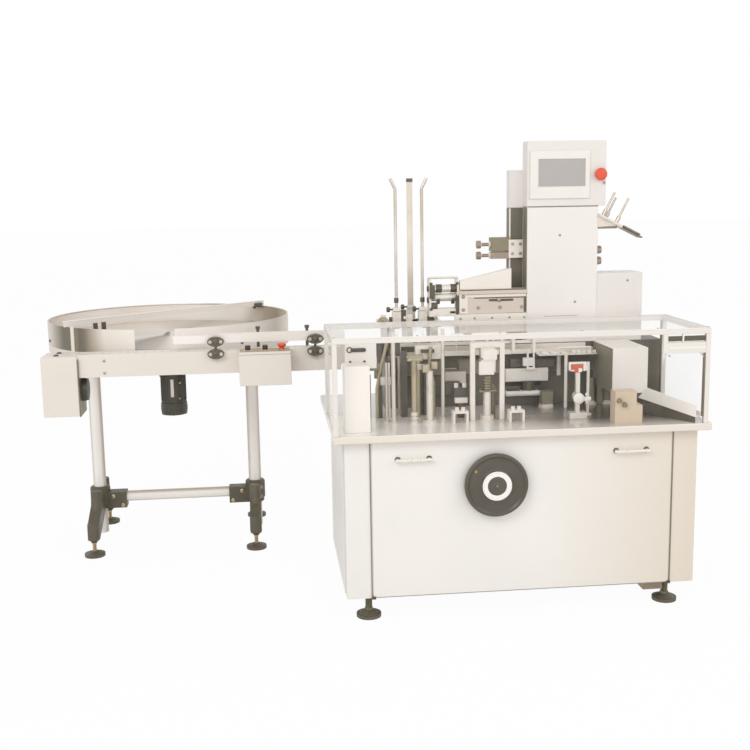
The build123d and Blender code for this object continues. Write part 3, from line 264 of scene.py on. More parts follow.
def machined_metal(name, colour, dark, roughness=0.34, metallic=0.7):
    """Machined pieces: fine cutter lines, darker smears in places."""
    paint = Paint(name, metallic=metallic)
    lines = paint.noise(120.0, 3.0, (1.0, 1.0, 0.2))
    smears = paint.noise(13.0, 4.0).above(0.55, 0.2)
    base = paint.blend((lines * 0.12 + smears * 0.5).clamp(), colour, dark)
    paint.feed(base_color=base, roughness=roughness + (lines - 0.5) * 0.16 + smears * 0.08)
    paint.bump(lines, 0.06)
    return paint.material


def moulded_plastic(name, colour, worn, roughness=0.5, grain=420.0):
    """Moulded plastic with a fine grain and paler rubbed places."""
    paint = Paint(name, specular_ior_level=0.45)
    fine = paint.noise(grain, 2.0)
    rubbed = paint.noise(11.0, 4.0).above(0.54, 0.16)
    base = paint.blend(rubbed * 0.6, colour, worn)
    paint.feed(base_color=base, roughness=roughness + (fine - 0.5) * 0.15 - rubbed * 0.08)
    paint.bump(fine, 0.15, 0.0004)
    return paint.material


def enamel(name, colour, worn, roughness=0.4):
    """Sprayed enamel with a little orange peel."""
    paint = Paint(name, metallic=0.0, coat_weight=0.12, coat_roughness=0.3)
    ripple = paint.noise(90.0, 2.0)
    patches = paint.noise(5.0, 4.0).above(0.45, 0.25)
    base = paint.blend(patches, colour, worn)
    paint.feed(base_color=base, roughness=roughness + (ripple - 0.5) * 0.12)
    paint.bump(ripple, 0.06, 0.0006)
    return paint.material


def clear_sheet(name, colour, haze):
    """Clear acrylic: nearly unseen face on, whiter at a flat angle, with faint wiped marks."""
    paint = Paint(name, roughness=0.08, base_color=colour, specular_ior_level=0.5)
    tilt = Value(paint, paint.node("ShaderNodeLayerWeight", {}, {"Blend": 0.35}, "Facing"))
    wiped = paint.noise(4.0, 4.0, (1.0, 1.0, 3.0)).above(0.5, 0.3)
    paint.feed(alpha=(haze + tilt ** 3.0 * 0.5 + wiped * 0.015).clamp())
    return paint.material


def table_sheet(name, bright, dark, edge):
    """The table top: polished steel with a painted reflection, bright at the front left and darker behind and
    at the outfeed end, where it stands for the dark machinery reflected in it.
    """
    paint = Paint(name)
    streaks = paint.noise(9.0, 3.0, (1.0, 0.12, 1.0))
    smudges = paint.noise(5.0, 5.0).above(0.52, 0.2)
    # along and deep mask the painted reflection of the dark machinery; shadow is that painted dark reflection
    along = paint.axis("X").above(TABLE_DARK_FROM, TABLE_DARK_RUN)
    deep = paint.axis("Y").above(TABLE_FRONT, TABLE_DEEP_RUN)
    shadow = (along * (deep * 0.66 + 0.2) + deep * 0.1).clamp()
    face = paint.blend(shadow, bright, dark)
    # Streaks are partly brushing and partly painted reflection streaks; smudges are dirt
    base = paint.blend((streaks.above(0.45, 0.3) * 0.25 + smudges * 0.15).clamp(), face, scaled(dark, 1.8))
    base = paint.blend(paint.axis("Z").above(TABLE_TOP - 0.0025, 0.001), edge, base)
    paint.feed(base_color=base, metallic=shadow * 0.45 + 0.03,
               roughness=0.13 + streaks * 0.12 + smudges * 0.1)
    paint.bump(streaks, 0.02)
    return paint.material


# Painted reflections and painted shade round the rim, outside and inside, by the share of a turn round its
# axis
OUTER_REFLECTION_TONES = [
    (0.0, (0.58, 0.52, 0.47)), (0.025, (0.68, 0.62, 0.57)), (0.07, (0.56, 0.50, 0.43)),
    (0.09, (0.34, 0.29, 0.22)), (0.107, (0.14, 0.125, 0.085)), (0.125, (0.18, 0.16, 0.11)),
    (0.132, (0.32, 0.27, 0.2)), (0.14, (0.15, 0.13, 0.09)), (0.15, (0.2, 0.175, 0.135)),
    (0.16, (0.44, 0.38, 0.30)), (0.18, (0.86, 0.80, 0.73)), (0.29, (0.90, 0.85, 0.80)),
    (0.36, (0.93, 0.88, 0.83)), (0.40, (0.68, 0.63, 0.57)), (0.422, (0.56, 0.49, 0.43)),
    (0.45, (0.70, 0.62, 0.53)), (0.5, (0.80, 0.74, 0.68)), (0.60, (0.58, 0.52, 0.45)),
    (0.70, (0.76, 0.70, 0.63)), (0.80, (0.46, 0.41, 0.33)), (0.90, (0.74, 0.68, 0.61)),
    (1.0, (0.58, 0.52, 0.47)),
]
INNER_REFLECTION_TONES = [
    (0.0, (0.68, 0.62, 0.57)), (0.12, (0.46, 0.41, 0.33)), (0.25, (0.74, 0.68, 0.62)),
    (0.38, (0.58, 0.52, 0.45)), (0.5, (0.80, 0.74, 0.68)), (0.53, (0.60, 0.54, 0.43)),
    (0.567, (0.33, 0.27, 0.2)), (0.60, (0.46, 0.39, 0.31)), (0.65, (0.90, 0.85, 0.79)),
    (0.70, (0.96, 0.92, 0.88)), (0.83, (0.88, 0.81, 0.74)), (0.87, (0.95, 0.90, 0.85)),
    (0.95, (0.88, 0.81, 0.76)), (1.0, (0.74, 0.68, 0.63)),
]
# Painted reflections on the spun disc: light and dark sectors by the share of a turn
DISC_REFLECTION_TONES = [
    (0.0, (0.66, 0.60, 0.53)), (0.12, (0.74, 0.68, 0.61)), (0.185, (0.16, 0.14, 0.10)),
    (0.215, (0.30, 0.25, 0.18)), (0.24, (0.42, 0.36, 0.28)), (0.265, (0.80, 0.74, 0.67)),
    (0.45, (0.66, 0.60, 0.53)), (0.62, (0.74, 0.68, 0.61)), (0.70, (0.44, 0.39, 0.31)),
    (0.80, (0.76, 0.70, 0.63)), (1.0, (0.66, 0.60, 0.53)),
]


def round_centre(paint):
    """The share of a turn and the distance at which a place lies from the turntable's axis."""
    across = paint.axis("X") - TURN_CENTRE[0]
    deep = paint.axis("Y") - TURN_CENTRE[1]
    return deep.turned_from(across), (across * across + deep * deep) ** 0.5


def rim_steel(name, outer, inner):
    """Polished sheet bent to a ring: tall soft bands of painted reflection and painted shade that change
    round it, outside and inside.
    """
    paint = Paint(name, metallic=0.12)
    turn, reach = round_centre(paint)
    outside = paint.node("ShaderNodeValToRGB", {"stops": outer}, [turn])
    inside = paint.node("ShaderNodeValToRGB", {"stops": inner}, [turn])
    lines = paint.noise(26.0, 4.0, (1.0, 1.0, 30.0))
    paint.feed(base_color=paint.blend(reach.above(RIM_RADIUS - 0.0012, 0.0004), inside, outside),
               roughness=0.3 + (lines - 0.5) * 0.1)
    paint.bump(lines, 0.01)
    return paint.material


def tube_steel(name, bright, edge):
    """Polished tube with a painted highlight down its broad middle and painted shade down both of its sides.
    """
    paint = Paint(name, roughness=0.32)
    across = ((paint.axis("X") - STAND_MIDDLE).absolute() - STAND_REACH).absolute()
    rise = (paint.axis("Z") - CROSS_LEVEL).absolute()
    upright = 1.0 - across.above(TUBE_RADIUS + 0.001, 0.0005)
    # sides masks the painted shade down each upright's flanks and above and below each cross tube
    sides = upright * across.above(TUBE_RADIUS * 0.55, 0.013) + (1.0 - upright) * rise.above(0.014, 0.01)
    paint.feed(base_color=paint.blend(sides, bright, edge))
    paint.bump(paint.noise(30.0, 3.0), 0.006)
    return paint.material


def spun_steel(name, tones):
    """A spun disc: fine rings, and light and dark sectors of painted reflection that run out from its centre.
    """
    paint = Paint(name, metallic=0.35)
    turn, reach = round_centre(paint)
    reflection_sectors = paint.node("ShaderNodeValToRGB", {"stops": tones}, [turn])
    rings = paint.noise(1.0, 3.0, (30.0, 30.0, 30.0))
    paint.feed(base_color=reflection_sectors, roughness=0.3 + (rings - 0.5) * 0.1 + reach * 0.05)
    paint.bump(rings, 0.01)
    return paint.material


RIM_LOW, RIM_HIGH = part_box("turntable_rim")
RIM_RADIUS = (RIM_HIGH.x - RIM_LOW.x) / 2
TURN_CENTRE = (RIM_LOW.x + RIM_RADIUS, RIM_HIGH.y - RIM_RADIUS)
TUBES_LOW, TUBES_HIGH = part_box("support_tubes")
TUBE_RADIUS = 0.0325
STAND_MIDDLE = (TUBES_LOW.x + TUBES_HIGH.x) / 2
STAND_REACH = (TUBES_HIGH.x - TUBES_LOW.x) / 2 - TUBE_RADIUS
CROSS_LEVEL = 0.226
TABLE_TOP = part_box("table_plate")[1].z
TABLE_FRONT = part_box("table_plate")[0].y + 0.03
# Where the table's painted dark reflection starts, and how far it fades in along and back
TABLE_DARK_FROM = CORNER.x + 0.55
TABLE_DARK_RUN = 0.55
TABLE_DEEP_RUN = 0.16
PAINTS = {
    "steel": satin_sheet("cream_steel", (0.785, 0.73, 0.665)),
    "handle": satin_sheet("handle_steel", (0.84, 0.79, 0.72), 0.3, 0.3, grain=(1.0, 1.0, 1.0)),
    "base": enamel("base_brown", (0.27, 0.21, 0.14), (0.33, 0.27, 0.19)),
    "black_plastic": moulded_plastic("foot_plastic", (0.12, 0.104, 0.073), (0.18, 0.157, 0.112)),
    "mirror_steel": table_sheet("table_steel", (0.92, 0.88, 0.83), (0.15, 0.13, 0.10), (0.79, 0.72, 0.65)),
    "wheel_black": enamel("wheel_enamel", (0.085, 0.072, 0.052), (0.105, 0.09, 0.068), 0.3),
    "guard_frame": satin_sheet("frame_aluminium", (0.81, 0.765, 0.715), 0.34, 0.2),
    "clear_panel": clear_sheet("clear_acrylic", (0.97, 0.96, 0.95), 0.012),
    "dark_paint": enamel("olive_paint", (0.135, 0.12, 0.088), (0.175, 0.157, 0.118), 0.5),
    "light_panel": satin_sheet("bright_plate", (0.74, 0.67, 0.59), 0.34, 0.2),
    "machined": machined_metal("machined_aluminium", (0.78, 0.73, 0.66), (0.47, 0.41, 0.33), 0.34, 0.45),
    "white_cover": satin_sheet("white_cover", (0.91, 0.87, 0.82), 0.42),
    "cream_paint": satin_sheet("cream_cover", (0.63, 0.51, 0.38), 0.42),
    "bezel_plastic": moulded_plastic("bezel_plastic", (0.84, 0.80, 0.76), (0.80, 0.76, 0.71), 0.45),
    "polished": brushed_steel("polished_steel", (0.72, 0.66, 0.59), (0.54, 0.47, 0.39)),
    "chain": moulded_plastic("chain_plastic", (0.78, 0.74, 0.68), (0.66, 0.61, 0.54), 0.42, 200.0),
    "motor_black": enamel("motor_enamel", (0.058, 0.054, 0.038), (0.085, 0.080, 0.060), 0.5),
    "knob": moulded_plastic("knob_plastic", (0.045, 0.038, 0.030), (0.17, 0.12, 0.08), 0.4),
    "stop_red": moulded_plastic("stop_red", (0.76, 0.10, 0.05), (0.80, 0.18, 0.11), 0.38),
    "disc_steel": spun_steel("disc_steel", DISC_REFLECTION_TONES),
    "rim": rim_steel("rim_steel", OUTER_REFLECTION_TONES, INNER_REFLECTION_TONES),
    # The cabinet's far colour is painted shade, darkening it toward its right end
    "cabinet": satin_sheet("cabinet_steel", (0.862, 0.836, 0.806), far=(0.75, 0.675, 0.575)),
    "tower": satin_sheet("tower_steel", (0.88, 0.84, 0.81)),
    "display": satin_sheet("display_steel", (0.82, 0.785, 0.75)),
    "rail": satin_sheet("rail_steel", (0.91, 0.865, 0.82), 0.36),
    "inner_wall": satin_sheet("inner_wall", (0.15, 0.13, 0.10), 0.45, far=(0.38, 0.335, 0.28), start=0.93,
                              run=0.03, way="Z"),
    "pillar": satin_sheet("pillar_olive", (0.74, 0.68, 0.61), 0.4, far=(0.25, 0.22, 0.16), start=0.828,
                          run=0.003, way="Z"),
    "tray": satin_sheet("tray_steel", (0.80, 0.74, 0.67), far=(0.22, 0.18, 0.125), start=1.318, run=0.004),
    "tube": tube_steel("tube_steel", (0.97, 0.94, 0.91), (0.58, 0.50, 0.41)),
    "grey_plate": satin_sheet("beam_grey", (0.68, 0.59, 0.52), 0.38, 0.2),
    "pale_plate": satin_sheet("pale_plate", (0.86, 0.80, 0.73), 0.36, 0.15),
    "turned_brown": machined_metal("turned_brown", (0.37, 0.29, 0.23), (0.22, 0.17, 0.13), 0.4, 0.3),
    "bronze": machined_metal("bronze_rods", (0.50, 0.43, 0.30), (0.22, 0.185, 0.11), 0.38),
    "olive_steel": machined_metal("olive_steel", (0.25, 0.22, 0.15), (0.11, 0.095, 0.062), 0.42),
    "dark_steel": machined_metal("dark_steel", (0.13, 0.115, 0.088), (0.055, 0.049, 0.038), 0.45, 0.5),
    "screw": machined_metal("screw_steel", (0.40, 0.36, 0.30), (0.16, 0.14, 0.12), 0.34),
    "counter_red": moulded_plastic("counter_red", (0.62, 0.11, 0.05), (0.66, 0.2, 0.12), 0.4),
    "screen": enamel("screen_glass", (0.42, 0.39, 0.375), (0.45, 0.42, 0.405), 0.2),
    "dial_white": enamel("dial_white", (0.92, 0.90, 0.87), (0.86, 0.83, 0.79), 0.4),
    "index_yellow": enamel("index_yellow", (0.46, 0.30, 0.08), (0.38, 0.25, 0.07), 0.4),
    "olive_top": satin_sheet("box_top_olive", (0.42, 0.33, 0.20), 0.42),
    "zinc": machined_metal("zinc_thread", (0.50, 0.40, 0.25), (0.25, 0.20, 0.12), 0.4),
    "seam": enamel("seam_shadow", (0.19, 0.165, 0.13), (0.25, 0.22, 0.175), 0.65),
    "edge_white": moulded_plastic("acrylic_edge", (0.86, 0.82, 0.77), (0.82, 0.78, 0.72), 0.35),
    # Dark colour for the chute hood's side: painted shade
    "hood_shade": satin_sheet("hood_painted_shade", (0.28, 0.25, 0.19), 0.5),
}


# Shapes in millimetres


def add_block(bm, x0, x1, y0, y1, z0, z1, edge=1.5, steps=2):
    """A box between two corners, with its edges rounded."""
    place = Matrix.Translation(((x0 + x1) / 2, (y0 + y1) / 2, (z0 + z1) / 2))
    place = place @ Matrix.Diagonal((x1 - x0, y1 - y0, z1 - z0, 1.0))
    made = bmesh.ops.create_cube(bm, size=1.0, matrix=place)["verts"]
    if edge > 0:
        edges = list({e for v in made for e in v.link_edges})
        bmesh.ops.bevel(bm, geom=edges, offset=edge, segments=steps, **BEVEL)


def facing(way):
    """The turn that takes +Z to a direction."""
    return UP.rotation_difference(Vector(way)).to_matrix().to_4x4()


def add_rod(bm, start, way, length, radius, edge=0.8, sides=28, top_radius=None):
    """A round bar from a point along a direction, with its rims rounded."""
    place = Matrix.Translation(Vector(start) + Vector(way).normalized() * length / 2) @ facing(way)
    made = bmesh.ops.create_cone(bm, cap_ends=True, cap_tris=False, segments=sides, radius1=radius,
                                 radius2=radius if top_radius is None else top_radius,
                                 depth=length, matrix=place)["verts"]
    if edge > 0:
        caps = {e for v in made for e in v.link_edges if any(len(f.verts) == sides for f in e.link_faces)}
        bmesh.ops.bevel(bm, geom=list(caps), offset=edge, segments=2, **BEVEL)


def add_turned(bm, start, way, profile, sides=40, closed=False):
    """A turned shape: pairs of radius and height along a direction, spun round it."""
    spun = bmesh.new()
    points = [spun.verts.new((radius, 0.0, height)) for radius, height in profile]
    edges = [spun.edges.new(pair) for pair in zip(points, points[1:])]
    if closed:
        edges.append(spun.edges.new((points[-1], points[0])))
    bmesh.ops.spin(spun, geom=points + edges, cent=(0, 0, 0), axis=UP, dvec=(0, 0, 0), angle=math.tau,
                   steps=sides, use_merge=True, use_duplicate=False)
    bmesh.ops.remove_doubles(spun, verts=spun.verts, dist=0.001)
    bmesh.ops.recalc_face_normals(spun, faces=spun.faces)
    bmesh.ops.transform(spun, matrix=Matrix.Translation(Vector(start)) @ facing(way), verts=spun.verts)
    mesh = bpy.data.meshes.new("spun")
    spun.to_mesh(mesh)
    spun.free()
    bm.from_mesh(mesh)
    bpy.data.meshes.remove(mesh)


def add_bent(bm, points, radius, sides=14):
    """A round bar that follows a few points."""
    points = [Vector(p) for p in points]
    ways = [(b - a).normalized() for a, b in zip(points, points[1:])]
    place = Matrix.Translation(points[0]) @ facing(ways[0])
    ring = bmesh.ops.create_circle(bm, cap_ends=False, segments=sides, radius=radius, matrix=place)["verts"]
    loop = list({e for v in ring for e in v.link_edges})
    made = list(ring)
    first = loop
    for index, (before, after) in enumerate(zip(points, points[1:])):
        grown = bmesh.ops.extrude_edge_only(bm, edges=loop)["geom"]
        ring = [g for g in grown if isinstance(g, bmesh.types.BMVert)]
        loop = [g for g in grown if isinstance(g, bmesh.types.BMEdge)]
        bmesh.ops.translate(bm, vec=after - before, verts=ring)
        if index + 1 < len(ways):
            turn = ways[index].rotation_difference(ways[index + 1]).to_matrix()
            bmesh.ops.rotate(bm, cent=after, matrix=turn, verts=ring)
        made += ring
    for end in (first, loop):
        bmesh.ops.holes_fill(bm, edges=end, sides=sides)
    bmesh.ops.recalc_face_normals(bm, faces=list({f for v in made for f in v.link_faces}))


def curve_points(centre, radius, start, end, steps, across, up):
    """Points along part of a circle, from one angle to another in degrees."""
    turns = [math.radians(start + (end - start) * i / steps) for i in range(steps + 1)]
    return [Vector(centre) + Vector(across) * radius * math.cos(t) + Vector(up) * radius * math.sin(t)
            for t in turns]


def add_plate(bm, outline, thickness, way, edge=0.6):
    """A plate from its outline's points and a thickness along a direction."""
    face = bm.faces.new([bm.verts.new(p) for p in outline])
    made = bmesh.ops.extrude_face_region(bm, geom=[face])["geom"]
    moved = [v for v in made if isinstance(v, bmesh.types.BMVert)]
    bmesh.ops.translate(bm, vec=Vector(way).normalized() * thickness, verts=moved)
    group = list({f for v in moved for f in v.link_faces} | {face})
    bmesh.ops.recalc_face_normals(bm, faces=group)
    if edge > 0:
        edges = list({e for f in group for e in f.edges})
        bmesh.ops.bevel(bm, geom=edges, offset=edge, segments=2, **BEVEL)


def add_bolt(bm, place, way, radius, height, sides=6):
    """A hexagon bolt head on a washer."""
    way = Vector(way).normalized()
    add_rod(bm, place, way, height * 0.25, radius * 1.45, 0.2, 24)
    add_rod(bm, Vector(place) + way * height * 0.25, way, height * 0.75, radius, 0.4, sides)


def shade(mesh):
    """Smooth faces with sharp corners."""
    mesh.polygons.foreach_set("use_smooth", [True] * len(mesh.polygons))
    mesh.set_sharp_from_angle(angle=SMOOTH_ANGLE)
    mesh.update()


def piece(name, bm, paint, body=MACHINE, replaces=()):
    """Turns a bmesh in millimetres into an object that rides on a body."""
    bmesh.ops.transform(bm, matrix=Matrix.Translation(CORNER) @ Matrix.Scale(MM, 4), verts=bm.verts)
    mesh = bpy.data.meshes.new(name)
    bm.to_mesh(mesh)
    bm.free()
    shade(mesh)
    made = bpy.data.objects.new(name, mesh)
    made.data.materials.append(PAINTS[paint])
    bpy.context.scene.collection.objects.link(made)
    weighted = made.modifiers.new("weighted", "WEIGHTED_NORMAL")
    weighted.keep_sharp = True
    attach(made, body)
    if replaces:
        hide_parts(*replaces)


SLOT_OF = {entry["node"]: entry["material_slot"] for entry in frame["record"]["subparts"]}
BODY_OF = {node: body for body, nodes in frame["record"]["behaviour"]["bodies"].items() for node in nodes}


def eased(node, edge):
    """The node's own shape with its sharp edges eased, shown in the node's place."""
    bm = bmesh.new()
    bm.from_mesh(frame["nodes"][node].data)
    bmesh.ops.remove_doubles(bm, verts=bm.verts, dist=MERGE_DISTANCE)
    bmesh.ops.transform(bm, matrix=Matrix.Scale(1 / MM, 4) @ Matrix.Translation(-CORNER), verts=bm.verts)
    bmesh.ops.dissolve_limit(bm, angle_limit=FLAT_ANGLE, verts=bm.verts, edges=bm.edges)
    bm.normal_update()
    sharp = [e for e in bm.edges if len(e.link_faces) == 2 and e.calc_face_angle() > SHARP_ANGLE]
    bmesh.ops.bevel(bm, geom=sharp, offset=edge, segments=2, clamp_overlap=True, **BEVEL)
    piece(node + "_shown", bm, OWN_PAINT.get(node, SLOT_OF[node]), BODY_OF[node], (node,))


make_camera()

for node, thing in frame["nodes"].items():
    thing.data.materials.clear()
    thing.data.materials.append(PAINTS[SLOT_OF[node]])

EASED = {
    1.0: ("base_channel", "housing_fascia", "chute_hood", "outfeed_slide", "leaflet_tray", "counter_stand"),
    1.2: ("service_panels",),
    0.8: ("product_track", "slide_web"),
    1.5: ("guard_posts", "guard_cross_rails", "guard_side_rails", "lift_portal", "clamp_brackets",
          "gauge_block", "line_beam", "line_plates", "magazine_base", "feeder_arms"),
    2.0: ("rear_housing", "infeed_cover", "feeder_column"),
    3.0: ("cabinet_body", "panel_handles", "tower_cover", "display_box", "display_bezel", "side_box",
          "drive_box", "control_box"),
    5.0: ("table_plate",),
    9.0: ("bipod_brackets",),
}
OWN_PAINT = {
    "cabinet_body": "cabinet", "service_panels": "cabinet", "tower_cover": "tower", "display_box": "display",
    "side_box": "display", "line_beam": "grey_plate", "line_plates": "pale_plate",
    "housing_fascia": "inner_wall", "leaflet_tray": "tray", "feeder_arms": "turned_brown",
    "lift_portal": "pale_plate", "clamp_brackets": "pale_plate",
}
PLAIN_PAINT = {"turntable_rim": "rim", "support_tubes": "tube", "diverter_bar": "rail", "guide_rails": "rail",
               "table_pillars": "pillar"}
for edge, nodes in EASED.items():
    for node in nodes:
        eased(node, edge)
for node, paint in PLAIN_PAINT.items():
    frame["nodes"][node].data.materials[0] = PAINTS[paint]


# Pieces on the machine: places in millimetres; a block's row ends with its edge's rounding


def build(name, paint, blocks=(), rods=(), spun=(), bolts=(), bends=(), plates=(), body=MACHINE,
          replaces=()):
    """One piece from rows of simple shapes, each row what its add_ function takes after the bmesh."""
    bm = bmesh.new()
    for add, rows in ((add_block, blocks), (add_rod, rods), (add_turned, spun), (add_bolt, bolts),
                      (add_bent, bends), (add_plate, plates)):
        for row in rows:
            add(bm, *row)
    piece(name, bm, paint, body, replaces)


# Places that several pieces share

TABLE = node_mm("table_plate")[1].z
RIM_REACH = 608
TURN = Vector((-790, node_mm("turntable_rim")[1].y - RIM_REACH, 0))
STAND_X = (-1195, -383)
FOOT_SPREAD = 284
CABINET_FACE = -4
TOWER_LOW, TOWER_HIGH = node_mm("tower_cover")
DISPLAY_LOW, DISPLAY_HIGH = node_mm("display_box")
SIDE_LOW, SIDE_HIGH = node_mm("side_box")
SMALL_SCREW = [(0, 0), (6, 0), (5.6, 1.3), (3.4, 2.3), (1.6, 2.5), (1.4, 1.5), (0, 1.5)]


def cabinet_trim():
    """Dark seams round the front panel, a dark strip painted as the table's shadow round the cabinet's top,
    latch tabs, handle sockets partly painted as the handles' shadow, and screws.
    """
    low, high = node_mm("service_panels")
    body_low, body_high = node_mm("cabinet_body")
    left, right = 106, 1394
    # A dark strip painted as the table's shadow, round the cabinet's top under the table's edge
    table_shadow_strip = (body_high.z - 4.5, body_high.z - 0.4, 0.4, 1)
    deep = (3, body_high.y - 3)
    build("panel_seams_and_table_shadow", "seam",
          [(x - 3.2, x + 1.2, CABINET_FACE + 0.4, 0.6, low.z + 2, high.z - 2, 0.4, 1) for x in (left, right)]
          + [(left, right, CABINET_FACE + 0.6, 0.6, low.z - 2.6, low.z + 0.6, 0.4, 1),
             (body_low.x + 3, body_high.x - 3, -2.2, 1, *table_shadow_strip),
             (body_low.x - 2.2, body_low.x + 1, *deep, *table_shadow_strip),
             (body_high.x - 1, body_high.x + 2.2, *deep, *table_shadow_strip)])
    foot, tabs = body_low.z, (112, 1388)
    build("latch_tabs", "dark_steel",
          [(x - 9, x + 9, -9.5, 1, foot - 3, foot + 9, 2) for x in tabs],
          [((x, -9, foot + 3), FRONT, 3, 4, 0.6, 20) for x in tabs])
    handle_low, handle_high = node_mm("panel_handles")
    middle, length, inset = (handle_low.z + handle_high.z) / 2, 155, 12
    # Dark sockets at the handles' feet, which also stand for painted shadow that the handles cast there
    build("handle_sockets_and_shadow", "dark_steel",
          spun=[((start + along, CABINET_FACE, middle), FRONT,
                 [(0, 0), (12.5, 0), (12.5, 1.6), (11, 2.6), (8.2, 2.8), (8.2, 3.4), (0, 3.4)], 28)
                for start in (handle_low.x, handle_high.x - length) for along in (inset, length - inset)])
    places = (TOWER_LOW + Vector((151, 0, 488)), TOWER_LOW + Vector((225, 0, 185)),
              (SIDE_LOW.x + 146, SIDE_LOW.y, SIDE_HIGH.z - 38))
    build("panel_screws", "screw",
          spun=[(place, FRONT, SMALL_SCREW, 20) for place in places]
          + [((-1031, 617, z), FRONT, [(0, 0), (7, 0), (6.6, 1.6), (4.2, 2.8), (2, 3), (1.8, 1.8), (0, 1.8)],
              20) for z in (1056, 1001)])


def handwheel_parts():
    """The turned handwheel with its shaft, white dial ring, hub and index mark."""
    low, high = node_mm("handwheel")
    x, z, radius = (low.x + high.x) / 2, (low.z + high.z) / 2, (high.x - low.x) / 2
    face = high.y - low.y - 10
    dial = high.y - face - 5.6
    dished = [(0, 0), (12, 0), (12, face - 24), (124, face - 24), (131, face - 22.5), (radius, face - 19),
              (radius, face - 6), (132.6, face - 2.4), (130, face - 0.3), (124, face), (120, face - 1.4),
              (117, face - 6), (113, face - 8), (72, face - 8), (65, face - 6.5), (62, face - 3),
              (62, face + 4.6), (60.6, face + 5.6), (0, face + 5.6)]
    build("handwheel_turned", "wheel_black", spun=[((x, high.y, z), FRONT, dished, 96)],
          body="handwheel", replaces=("handwheel",))
    ring = [(40, -0.5), (40, 1.8), (41.2, 2.6), (60, 2.6), (61.6, 1.6), (61.6, -0.5)]
    hub = [(0, -0.5), (38.6, -0.5), (38.6, 1.2), (37, 2.2), (15, 2.5), (13.4, 4), (11.5, 4.4), (5, 4.4),
           (4.4, 2.4), (0, 2.4)]
    screw = [(0, 1.6), (4.2, 1.6), (4.2, 3.2), (3, 4), (0, 4.2)]
    for name, paint, slot, *shape in (("dial_ring", "dial_white", "bezel_plastic", ring, 72, True),
                                      ("dial_hub", "wheel_black", "wheel_black", hub, 56),
                                      ("hub_screw", "screw", "knob", screw, 24)):
        build(name, paint, spun=[((x, dial, z), FRONT, *shape)], body="handwheel")
    ticks = []
    for index in range(36):
        way = math.radians(index * 10)
        out = Vector((math.cos(way), 0, math.sin(way)))
        ticks.append((Vector((x, dial - 2.5, z)) + out * 59, -out, 3.5 if index % 3 else 6, 0.45, 0, 6))
    build("dial_ticks", "seam", rods=ticks, body="handwheel")
    way, reach = math.radians(145), 106
    spot = (x + reach * math.cos(way), high.y - face + 8.2, z + reach * math.sin(way))
    build("index_dot", "index_yellow", body="handwheel",
          spun=[(spot, FRONT, [(0, 0), (6.5, 0), (6.2, 1.5), (4.2, 2.8), (0, 3.2)], 28)])


def stop_heads():
    """Red mushroom heads and their collars on the display box and on the control box."""
    control_low, control_high = node_mm("control_box")
    head = [(0, 0), (17, 0), (17, 5), (15, 8), (16.5, 11), (23, 13.5), (27.4, 17), (28, 20.5), (26.4, 24.5),
            (20, 27.2), (9, 28), (0, 28)]
    small = [(radius * 20 / 28, height * 30 / 28) for radius, height in head]
    front = (DISPLAY_HIGH.x - 29, TOWER_LOW.y, TOWER_HIGH.z + 139)
    top = (control_low.x + 193, (control_low.y + control_high.y) / 2, control_high.z)
    build("stop_heads", "stop_red", spun=[(front, FRONT, head, 48), (top, UP, small, 40)],
          replaces=("stop_buttons",))
    build("stop_collars", "screw",
          spun=[(front, FRONT, [(17.6, 0), (23, 0), (22.4, 2.4), (18.2, 3.2), (17.6, 2.6)], 40, True),
                (top, UP, [(12.6, 0), (17, 0), (16.4, 2.4), (13.2, 3), (12.6, 2.4)], 36, True)])


def display_parts():
    """The grey screen in its bezel, the lock, and the trim round the display box."""
    face = node_mm("display_bezel")[0]
    left, right, low, high = face.x + 37, face.x + 253, face.z + 53, face.z + 175
    build("screen_glass", "screen",
          [(left + 0.6, right - 0.6, face.y + 2.2, face.y + 4.4, low + 0.6, high - 0.6, 0.8)])
    build("screen_lip", "edge_white",
          [(x0, x1, face.y - 1, face.y + 2.5, z0, z1, 0.7)
           for x0, x1, z0, z1 in ((left - 5, right + 5, high, high + 4), (left - 5, right + 5, low - 4, low),
                                  (left - 5, left, low - 0.2, high + 0.2),
                                  (right, right + 5, low - 0.2, high + 0.2))])
    low, high = TOWER_LOW, TOWER_HIGH
    build("tower_gaps", "seam",
          [(low.x + 2, high.x - 1, low.y - 1.4, low.y + 2, high.z - 3.4, high.z - 0.2, 0.5),
           (low.x - 4.5, low.x + 0.4, low.y + 3, low.y + 60, 1240, high.z - 2, 0.6),
           (low.x + 81, high.x - 88, low.y - 0.5, low.y + 0.6, low.z + 120.6, low.z + 122.2, 0.2, 1)])
    build("display_lock", "screw",
          spun=[((DISPLAY_HIGH.x - 8, DISPLAY_LOW.y, TOWER_HIGH.z + 101), FRONT,
                 [(0, 0), (6.5, 0), (6.5, 3), (5.2, 4.2), (1.6, 4.2), (1.4, 2), (0, 2)], 28)])


